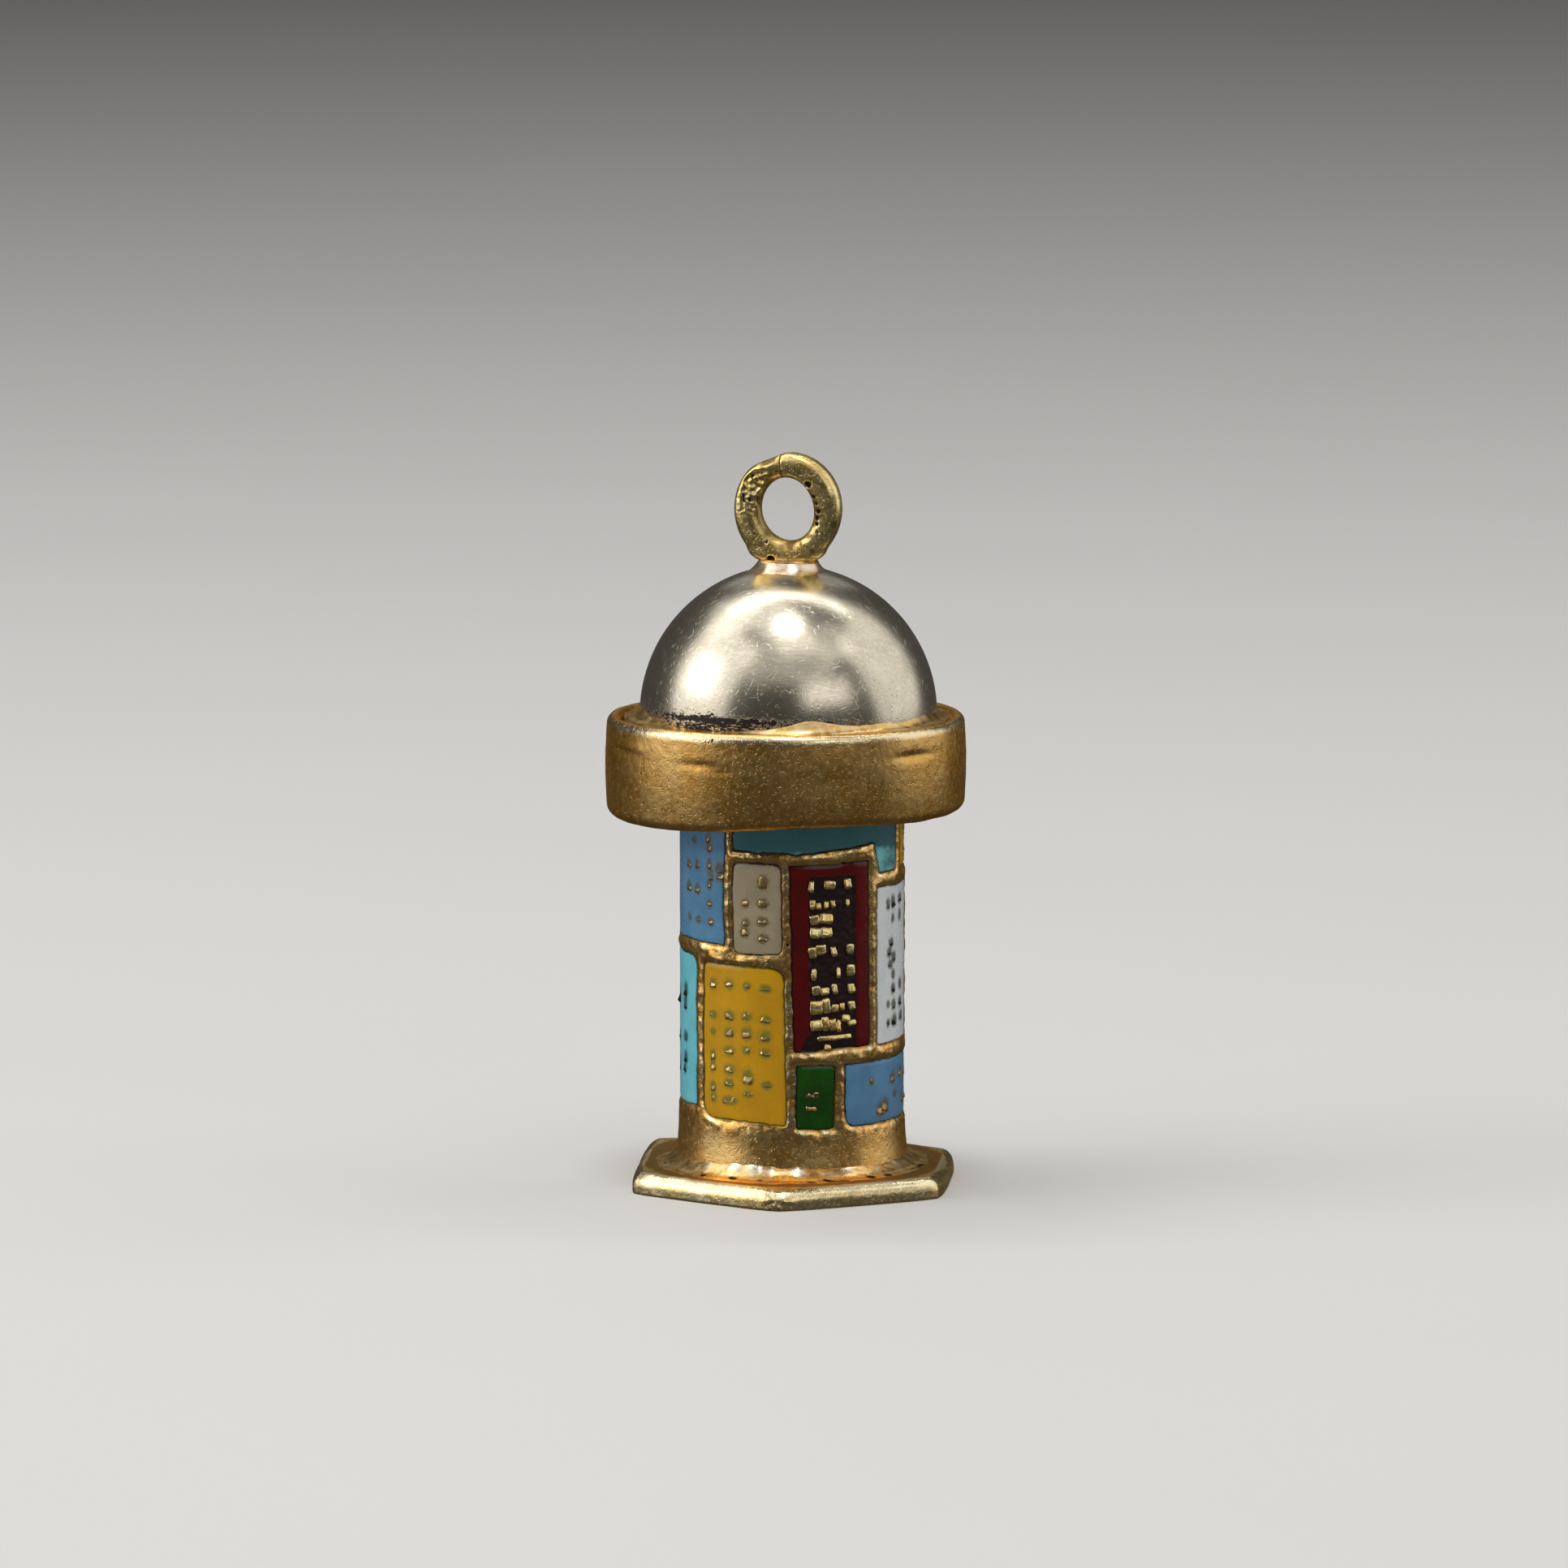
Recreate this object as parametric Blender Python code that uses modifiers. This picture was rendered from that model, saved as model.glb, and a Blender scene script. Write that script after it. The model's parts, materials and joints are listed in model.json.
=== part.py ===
"""Souvenir charm: a miniature advertising column with an eyelet to hang it by.

An enamelled tube stands on a six-sided foot plate and carries a wide collar and a
silver dome. The posters are separate enamel fills that lie in cells sunk into the
tube, and every soldered joint is a piece of its own.

Metres, +Z up. The origin is the centre of the foot plate's underside and the front
looks along -Y. A bearing is an angle round the column in degrees: 0 is the front,
90 the right-hand side (+X) and 180 the back.
"""

import math

import bmesh
import bpy
from mathutils import Matrix

MM = 0.001
GAP = 0.02 * MM  # left between touching pieces, where the real joint is fused or soldered

# Driving dimensions
PLATE_CORNER_RADIUS = 5.28 * MM
PLATE_THICKNESS = 0.62 * MM
PLATE_TURN = -5.5  # degrees that the front corner stands off the front
PLATE_CORNER_ROUND = 0.34 * MM
PLATE_TOP_ROUND = 0.24 * MM
PLATE_BOTTOM_ROUND = 0.14 * MM
VENT_RADIUS = 0.45 * MM

COLUMN_RADIUS = 3.29 * MM
COLUMN_BORE = 2.72 * MM
CELL_FLOOR = 3.01 * MM  # radius of the floor of the sunk cells
ENAMEL_RADIUS = 3.25 * MM  # radius of the enamel's face, a little below the walls
COLUMN_FACETS = 72

COLLAR_RADIUS = 5.22 * MM
COLLAR_WALL = 0.42 * MM
COLLAR_BOTTOM = 11.0 * MM
COLLAR_TOP = 13.76 * MM
DISC_TOP = 13.45 * MM
DISC_THICKNESS = 0.45 * MM
DISC_HOLE = 1.0 * MM

DOME_RADIUS = 4.31 * MM
DOME_WALL = 0.38 * MM
DOME_FACETS = 48

EYELET_WIRE = 0.38 * MM  # radius of the wire
EYELET_HALF_WIDTH = 1.23 * MM  # of the wire's centreline
EYELET_HALF_HEIGHT = 1.285 * MM
EYELET_CENTRE = 19.73 * MM
EYELET_TURN = -18.0  # degrees that the eyelet's plane is turned about the upright axis
SEAT_RADIUS = 0.88 * MM
SEAT_TOP = 18.25 * MM

# The hand-soldered pieces sit a little off each other's axes. X of each one's own axis.
COLUMN_X = -0.05 * MM
COLLAR_X = -0.23 * MM
DOME_X = -0.15 * MM
EYELET_X = -0.16 * MM

PLATE_TOP = PLATE_THICKNESS
COLUMN_FOOT = PLATE_TOP + GAP
DISC_BOTTOM = DISC_TOP - DISC_THICKNESS
COLUMN_HEAD = DISC_BOTTOM - GAP
DOME_FOOT = DISC_TOP + GAP
DOME_CENTRE = COLLAR_TOP  # the hemisphere's middle is level with the collar's rim
COLLAR_BORE = COLLAR_RADIUS - COLLAR_WALL

# The posters: name, colour, corners as (bearing, height in mm) and corner rounding in mm.
# A poster given by two corners is the rectangle between them.
CELL_HEAD = 11.45
POSTERS = (
    ("blue_upper", "blue", ((-98, 7.33), (-36.9, CELL_HEAD)), 0.22),
    ("grey", "grey", ((-31.8, 7.12), (-6.2, 9.80)), 0.30),
    (
        "teal_band",
        "teal",
        (
            (-31.3, 10.10),
            (47.8, 10.24),
            (50.4, 9.37),
            (68, 9.37),
            (68, CELL_HEAD),
            (-31.3, CELL_HEAD),
        ),
        0.08,
    ),
    ("red", "red", ((-0.8, 4.30), (42.7, 9.76)), 0.08),
    ("white", "white", ((48.5, 4.36), (90, 8.97)), 0.12),
    ("yellow", "yellow", ((-51.3, 2.30), (-3.6, 6.77)), 0.55),
    ("turquoise", "turquoise", ((-104, 2.55), (-56.2, 6.97)), 0.30),
    ("green", "green", ((0.3, 2.08), (21.8, 3.95)), 0.12),
    ("blue_lower", "blue", ((27.3, 2.12), (97, 3.94)), 0.22),
    ("yellow_rear_top", "yellow", ((74, 9.35), (124, CELL_HEAD)), 0.20),
    ("green_rear", "green", ((95, 4.36), (124, 9.05)), 0.20),
    ("teal_rear_low", "teal", ((102, 2.12), (150, 4.07)), 0.20),
    ("red_rear", "red", ((129, 6.90), (172, CELL_HEAD)), 0.10),
    ("yellow_rear", "yellow", ((129, 4.36), (172, 6.60)), 0.35),
    ("white_rear", "white", ((177, 8.20), (215, CELL_HEAD)), 0.12),
    ("blue_rear", "blue", ((177, 4.36), (215, 7.90)), 0.25),
    ("turquoise_rear_low", "turquoise", ((155, 2.12), (200, 4.07)), 0.25),
    ("green_rear_top", "green", ((220, 9.30), (257, CELL_HEAD)), 0.15),
    ("grey_rear", "grey", ((220, 7.30), (257, 9.00)), 0.25),
    ("red_rear_low", "red", ((220, 4.36), (251, 7.00)), 0.10),
    ("yellow_rear_low", "yellow", ((205, 2.12), (251, 4.07)), 0.30),
)

GOLD = ((0.72, 0.50, 0.22), 0.38, 1.0)
PALE_SOLDER = ((0.80, 0.70, 0.52), 0.34, 1.0)
SILVER = ((0.72, 0.71, 0.66), 0.22, 1.0)
ENAMELS = {
    "blue": (0.10, 0.25, 0.60),
    "grey": (0.36, 0.34, 0.27),
    "teal": (0.10, 0.42, 0.50),
    "red": (0.26, 0.01, 0.015),
    "white": (0.72, 0.74, 0.76),
    "yellow": (0.68, 0.40, 0.01),
    "turquoise": (0.16, 0.56, 0.62),
    "green": (0.01, 0.11, 0.01),
}
ENAMEL_ROUGHNESS = 0.28


def clear_scene():
    for obj in list(bpy.data.objects):
        bpy.data.objects.remove(obj)


def make_collections():
    """One collection for the charm's pieces and one for what cuts them."""
    made = []
    for name in ("charm", "cutters"):
        group = bpy.data.collections.new(name)
        bpy.context.scene.collection.children.link(group)
        made.append(group)
    return made


def make_material(name, colour, roughness, metallic):
    material = bpy.data.materials.new(name)
    material.use_nodes = True
    shader = material.node_tree.nodes["Principled BSDF"]
    shader.inputs["Base Color"].default_value = (*colour, 1.0)
    shader.inputs["Roughness"].default_value = roughness
    shader.inputs["Metallic"].default_value = metallic
    return material


def add_object(name, mesh, group, material=None, x=0.0):
    obj = bpy.data.objects.new(name, mesh)
    obj.location.x = x
    group.objects.link(obj)
    if material:
        mesh.materials.append(material)
    return obj


def mesh_from(bm, name):
    bmesh.ops.recalc_face_normals(bm, faces=bm.faces)
    mesh = bpy.data.meshes.new(name)
    bm.to_mesh(mesh)
    bm.free()
    return mesh


def cut(obj, cutter):
    """Takes the cutter's shape out of obj, and hides the cutter."""
    modifier = obj.modifiers.new("cut", "BOOLEAN")
    modifier.operation = "DIFFERENCE"
    modifier.object = cutter
    cutter.hide_render = True
    cutter.display_type = "WIRE"


def arc(centre, radius, start, end, steps):
    """Points (radius, height) on an arc of a profile, its angles in degrees from +X."""
    turns = (math.radians(start + (end - start) * i / steps) for i in range(steps + 1))
    return [
        (centre[0] + radius * math.cos(t), centre[1] + radius * math.sin(t)) for t in turns
    ]


def turned(name, profile, x, material, group, facets=DOME_FACETS):
    """A lathe shape. The profile runs down its outer side; it closes on itself unless
    it starts and ends on the axis."""
    on_axis = abs(profile[0][0]) < GAP and abs(profile[-1][0]) < GAP
    edges = [(i, i + 1) for i in range(len(profile) - 1)]
    if not on_axis:
        edges.append((len(profile) - 1, 0))
    mesh = bpy.data.meshes.new(name)
    mesh.from_pydata([(r, 0.0, z) for r, z in profile], edges, [])
    obj = add_object(name, mesh, group, material, x)
    screw = obj.modifiers.new("turn", "SCREW")
    screw.axis = "Z"
    screw.steps = facets
    screw.render_steps = facets
    screw.use_smooth_shade = True
    screw.use_merge_vertices = True
    screw.merge_threshold = GAP / 20
    return obj


def foot_plate(material, charm, cutters):
    """The six-sided plate, worn round at its corners and edges, with a vent hole."""
    bm = bmesh.new()
    bmesh.ops.create_cone(
        bm,
        cap_ends=True,
        segments=6,
        radius1=PLATE_CORNER_RADIUS,
        radius2=PLATE_CORNER_RADIUS,
        depth=PLATE_THICKNESS,
        matrix=Matrix.Translation((0, 0, PLATE_THICKNESS / 2)),
    )

    def is_level(edge):
        return abs(edge.verts[0].co.z - edge.verts[1].co.z) < GAP

    def round_edges(edges, width):
        bmesh.ops.bevel(bm, geom=edges, offset=width, segments=3, profile=0.5, affect="EDGES")

    round_edges([e for e in bm.edges if not is_level(e)], PLATE_CORNER_ROUND)
    for height, width in ((PLATE_THICKNESS, PLATE_TOP_ROUND), (0.0, PLATE_BOTTOM_ROUND)):
        level = [e for e in bm.edges if is_level(e) and abs(e.verts[0].co.z - height) < GAP]
        round_edges(level, width)
    plate = add_object("foot_plate", mesh_from(bm, "foot_plate"), charm, material)
    plate.rotation_euler.z = math.radians(PLATE_TURN)

    bm = bmesh.new()
    bmesh.ops.create_cone(
        bm,
        cap_ends=True,
        segments=24,
        radius1=VENT_RADIUS,
        radius2=VENT_RADIUS,
        depth=3 * PLATE_THICKNESS,
    )
    cut(plate, add_object("vent_cutter", mesh_from(bm, "vent_cutter"), cutters))


def foot_solder(material, charm):
    """The fillet of solder where the column meets the plate."""
    inner = COLUMN_RADIUS + GAP
    reach = 0.58 * MM
    foot = COLUMN_FOOT
    hollow = arc((inner + reach, foot + reach), reach, 178, 268, 6)
    profile = [*hollow, (inner + reach, foot), (inner, foot), (inner, foot + reach)]
    turned("foot_solder", profile, COLUMN_X, material, charm, COLUMN_FACETS)


def corners_of(outline):
    """The corners as (distance round the column, height). Two corners are a rectangle."""
    if len(outline) == 2:
        (left, low), (right, high) = outline
        outline = ((left, low), (right, low), (right, high), (left, high))
    return [(math.radians(b) * COLUMN_RADIUS, h * MM) for b, h in outline]


def rolled_sheet(name, outline, rounding, inset, inner, outer):
    """A flat outline with round corners, rolled round the column's axis, as a mesh that
    is solid from radius inner to radius outer."""
    bm = bmesh.new()
    corners = [bm.verts.new((along, 0.0, height)) for along, height in corners_of(outline)]
    bm.faces.new(corners)
    bmesh.ops.bevel(
        bm, geom=corners, offset=rounding, segments=3, profile=0.5, affect="VERTICES"
    )
    if inset:
        ring = bmesh.ops.inset_individual(
            bm, faces=bm.faces[:], thickness=inset, use_even_offset=True
        )
        bmesh.ops.delete(bm, geom=ring["faces"], context="FACES")

    # Fold lines midway between the column's own edges, so that no two edges coincide.
    step = 2 * math.pi / COLUMN_FACETS * COLUMN_RADIUS
    low = math.floor(min(v.co.x for v in bm.verts) / step)
    high = math.ceil(max(v.co.x for v in bm.verts) / step)
    for fold in range(low, high):
        bmesh.ops.bisect_plane(
            bm,
            geom=[*bm.verts, *bm.edges, *bm.faces],
            dist=GAP / 20,
            plane_co=((fold + 0.5) * step, 0, 0),
            plane_no=(1, 0, 0),
        )

    for vertex in bm.verts:
        turn = vertex.co.x / COLUMN_RADIUS
        height = vertex.co.z
        vertex.co = (outer * math.sin(turn), -outer * math.cos(turn), height)
    made = bmesh.ops.extrude_face_region(bm, geom=bm.faces[:])
    for item in made["geom"]:
        if isinstance(item, bmesh.types.BMVert):
            item.co.x *= inner / outer
            item.co.y *= inner / outer
    return mesh_from(bm, name)


def column_tube(material, charm, cutters):
    """The metal tube, its wall sunk into a cell for each poster."""
    profile = [
        (COLUMN_RADIUS, COLUMN_HEAD),
        (COLUMN_RADIUS, COLUMN_FOOT),
        (COLUMN_BORE, COLUMN_FOOT),
        (COLUMN_BORE, COLUMN_HEAD),
    ]
    tube = turned("column_tube", profile, COLUMN_X, material, charm, COLUMN_FACETS)
    beyond = COLUMN_RADIUS + 0.2 * MM
    cells = bmesh.new()
    for name, _, outline, rounding in POSTERS:
        cells.from_mesh(rolled_sheet(name, outline, rounding * MM, 0.0, CELL_FLOOR, beyond))
    cut(tube, add_object("cell_cutter", mesh_from(cells, "cell_cutter"), cutters, x=COLUMN_X))


def enamel_fills(charm):
    """One fill of enamel in each cell."""
    colours = {
        colour: make_material(f"{colour}_enamel", rgb, ENAMEL_ROUGHNESS, 0.0)
        for colour, rgb in ENAMELS.items()
    }
    for name, colour, outline, rounding in POSTERS:
        mesh = rolled_sheet(
            f"enamel_{name}", outline, rounding * MM, GAP, CELL_FLOOR + GAP, ENAMEL_RADIUS
        )
        add_object(f"enamel_{name}", mesh, charm, colours[colour], COLUMN_X)


def collar_hoop(material, charm):
    """The wide hoop of flat strip, open underneath, with a rounded rim."""
    half_wall = COLLAR_WALL / 2
    lower_round = 0.2 * MM
    rim = arc((COLLAR_BORE + half_wall, COLLAR_TOP - half_wall), half_wall, 180, 0, 6)
    heel = arc(
        (COLLAR_RADIUS - lower_round, COLLAR_BOTTOM + lower_round), lower_round, 0, -90, 4
    )
    profile = [*rim, *heel, (COLLAR_BORE, COLLAR_BOTTOM)]
    turned("collar_hoop", profile, COLLAR_X, material, charm, COLUMN_FACETS)


def collar_disc(material, charm):
    """The washer inside the hoop: the column ends under it and the dome stands on it."""
    outer = COLLAR_BORE - GAP
    profile = [
        (outer, DISC_TOP),
        (outer, DISC_BOTTOM),
        (DISC_HOLE, DISC_BOTTOM),
        (DISC_HOLE, DISC_TOP),
    ]
    turned("collar_disc", profile, COLLAR_X, material, charm, COLUMN_FACETS)


def dome_shell(material, charm):
    """The pressed half-ball, with a short straight skirt down to the disc."""
    centre = (0.0, DOME_CENTRE)
    inner_radius = DOME_RADIUS - DOME_WALL
    profile = [
        *arc(centre, DOME_RADIUS, 90, 0, 12),
        (DOME_RADIUS, DOME_FOOT),
        (inner_radius, DOME_FOOT),
        *arc(centre, inner_radius, 0, 90, 8),
    ]
    turned("dome_shell", profile, DOME_X, material, charm)


def dome_solder(material, charm):
    """The sloping ring of solder that fills the groove between the dome and the hoop."""
    offset = abs(DOME_X - COLLAR_X)
    inner = DOME_RADIUS + GAP
    outer = COLLAR_BORE - GAP - offset
    rise = 0.34 * MM  # how far it climbs up the dome above the rim
    profile = [
        (inner, DOME_CENTRE + rise - GAP),
        (inner + 0.06 * MM, DOME_CENTRE + rise - 0.05 * MM),
        (inner + 0.17 * MM, DOME_CENTRE + 0.10 * MM),
        (outer, COLLAR_TOP - 0.10 * MM),
        (outer, DOME_FOOT),
        (inner, DOME_FOOT),
    ]
    turned("dome_solder", profile, DOME_X, material, charm, COLUMN_FACETS)


def eyelet_seat(material, charm):
    """The pad of pale solder on the dome's crown. Its underside follows the dome."""
    gap_radius = DOME_RADIUS + GAP

    def over_dome(radius):
        return (radius, DOME_CENTRE + math.sqrt(gap_radius**2 - radius**2))

    skirt = SEAT_RADIUS + 0.10 * MM
    profile = [
        (0.0, SEAT_TOP),
        (SEAT_RADIUS - 0.08 * MM, SEAT_TOP),
        (SEAT_RADIUS, SEAT_TOP - 0.06 * MM),
        over_dome(skirt),
        over_dome(skirt / 2),
        over_dome(0.0),
    ]
    turned("eyelet_seat", profile, DOME_X, material, charm, facets=32)


def eyelet_ring(material, charm, cutters):
    """The ring of round wire, filed flat underneath where it stands on its seat."""
    points = 40
    curve = bpy.data.curves.new("eyelet_wire", "CURVE")
    curve.dimensions = "3D"
    curve.bevel_depth = EYELET_WIRE
    curve.bevel_resolution = 4
    spline = curve.splines.new("POLY")
    spline.points.add(points - 1)
    spline.use_cyclic_u = True
    for i, point in enumerate(spline.points):
        turn = 2 * math.pi * i / points
        point.co = (
            EYELET_HALF_WIDTH * math.cos(turn),
            0.0,
            EYELET_HALF_HEIGHT * math.sin(turn),
            1.0,
        )
    wire = bpy.data.objects.new("eyelet_wire", curve)
    wire.location = (EYELET_X, 0.0, EYELET_CENTRE)
    wire.rotation_euler.z = math.radians(EYELET_TURN)
    charm.objects.link(wire)
    bpy.context.view_layer.update()
    graph = bpy.context.evaluated_depsgraph_get()
    mesh = bpy.data.meshes.new_from_object(wire.evaluated_get(graph))
    ring = add_object("eyelet_ring", mesh, charm, material)
    ring.matrix_world = wire.matrix_world
    bpy.data.objects.remove(wire)

    bm = bmesh.new()
    bmesh.ops.create_cube(bm, size=1.0, matrix=Matrix.Diagonal((4 * MM, 4 * MM, 1 * MM, 1.0)))
    filed = add_object("filing_cutter", mesh_from(bm, "filing_cutter"), cutters, x=EYELET_X)
    filed.location.z = SEAT_TOP + GAP - 0.5 * MM
    cut(ring, filed)


def shade_pieces(charm):
    """Round faces are smooth, and the edges where two faces meet stay sharp."""
    for obj in charm.objects:
        obj.data.shade_smooth()
        obj.data.set_sharp_from_angle(angle=math.radians(35))


def main():
    clear_scene()
    charm, cutters = make_collections()
    gold = make_material("gold", *GOLD)
    solder = make_material("pale_solder", *PALE_SOLDER)
    silver = make_material("silver", *SILVER)
    foot_plate(gold, charm, cutters)
    foot_solder(gold, charm)
    column_tube(gold, charm, cutters)
    enamel_fills(charm)
    collar_hoop(gold, charm)
    collar_disc(gold, charm)
    dome_shell(silver, charm)
    dome_solder(gold, charm)
    eyelet_seat(solder, charm)
    eyelet_ring(gold, charm, cutters)
    shade_pieces(charm)


main()
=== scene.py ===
"""The charm's finished pieces: a miniature advertising column with an eyelet.

Every piece is shaped in millimetres round the charm's own frame and brought down to
metres as it's finished. A bearing is an angle round the column in degrees: 0 is the
front (-Y), 90 the right-hand side (+X) and 180 the back.
"""

import json
import math

import bmesh
import bpy
import numpy as np
from mathutils import Matrix, Vector, noise
from mathutils.geometry import delaunay_2d_cdt

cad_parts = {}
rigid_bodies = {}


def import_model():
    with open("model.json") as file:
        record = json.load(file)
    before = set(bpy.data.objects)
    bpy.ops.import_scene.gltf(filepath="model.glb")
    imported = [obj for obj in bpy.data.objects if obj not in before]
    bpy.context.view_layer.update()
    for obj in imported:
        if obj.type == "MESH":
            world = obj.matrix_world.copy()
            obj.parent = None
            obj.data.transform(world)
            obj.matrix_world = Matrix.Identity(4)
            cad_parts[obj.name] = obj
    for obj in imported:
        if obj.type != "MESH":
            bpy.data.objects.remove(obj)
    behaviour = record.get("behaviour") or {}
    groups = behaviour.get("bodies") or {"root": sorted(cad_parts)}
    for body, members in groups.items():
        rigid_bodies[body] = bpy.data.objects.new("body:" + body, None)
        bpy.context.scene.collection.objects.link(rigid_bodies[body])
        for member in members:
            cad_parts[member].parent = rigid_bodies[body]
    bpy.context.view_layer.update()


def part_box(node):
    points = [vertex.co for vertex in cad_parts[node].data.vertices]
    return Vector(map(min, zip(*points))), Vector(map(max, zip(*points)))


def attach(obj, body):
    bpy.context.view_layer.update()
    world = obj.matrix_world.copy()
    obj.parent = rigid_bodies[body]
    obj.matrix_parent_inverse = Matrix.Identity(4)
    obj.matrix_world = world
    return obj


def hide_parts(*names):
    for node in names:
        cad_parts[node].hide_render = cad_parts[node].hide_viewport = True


MM = 0.001

# The posters: name, colour, corners as (bearing, height) and corner rounding, in mm. Two
# corners are a rectangle. A list of four roundings starts at the lower left and runs
# to the right and up.
CELL_HEAD = 11.45
POSTERS = (
    ("blue_upper", "blue", ((-98, 7.33), (-36.6, CELL_HEAD)), (0.45, 0.08, 0.1, 0.1)),
    ("grey", "grey", ((-32.3, 7.12), (-4.7, 9.84)), (0.22, 0.16, 0.34, 0.24)),
    (
        "teal_band",
        "teal",
        ((-32, 10.12), (2, 10.06), (46.8, 10.27), (50.4, 9.37), (68, 9.37))
        + ((68, CELL_HEAD), (-32, CELL_HEAD)),
        0.07,
    ),
    ("red", "red", ((0.2, 4.29), (44.2, 4.40), (43.4, 9.82), (-1.9, 9.77)), 0.06),
    ("white", "white", ((48.8, 4.33), (90, 9.00)), (0.1, 0.2, 0.2, 0.1)),
    ("yellow", "yellow", ((-52.2, 2.28), (-2.4, 2.14), (-3.2, 6.82), (-52, 6.80)), (0.5, 0.1, 0.6, 0.3)),
    ("turquoise", "turquoise", ((-104, 2.50), (-57.6, 6.98)), (0.2, 0.15, 0.5, 0.3)),
    ("green", "green", ((1.3, 2.05), (23.0, 3.95)), 0.1),
    ("blue_lower", "blue", ((27.8, 2.06), (97, 3.94)), (0.3, 0.2, 0.2, 0.08)),
    ("yellow_rear_top", "yellow", ((74, 9.35), (124, CELL_HEAD)), 0.2),
    ("green_rear", "green", ((95, 4.36), (124, 9.05)), 0.2),
    ("teal_rear_low", "teal", ((102, 2.12), (150, 4.07)), 0.2),
    ("red_rear", "red", ((129, 6.90), (172, CELL_HEAD)), 0.1),
    ("yellow_rear", "yellow", ((129, 4.36), (172, 6.60)), 0.35),
    ("white_rear", "white", ((177, 8.20), (215, CELL_HEAD)), 0.12),
    ("blue_rear", "blue", ((177, 4.36), (215, 7.90)), 0.25),
    ("turquoise_rear_low", "turquoise", ((155, 2.12), (200, 4.07)), 0.25),
    ("green_rear_top", "green", ((220, 9.30), (257, CELL_HEAD)), 0.15),
    ("grey_rear", "grey", ((220, 7.30), (257, 9.00)), 0.25),
    ("red_rear_low", "red", ((220, 4.36), (251, 7.00)), 0.1),
    ("yellow_rear_low", "yellow", ((205, 2.12), (251, 4.07)), 0.3),
)

# Where the red poster's enamel has worn down to a dark block round its marks.
DARK_BLOCK = ((8.6, 9.42), (34.4, 9.42), (35.4, 4.36), (4.2, 4.33), (9.4, 4.86))

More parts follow.
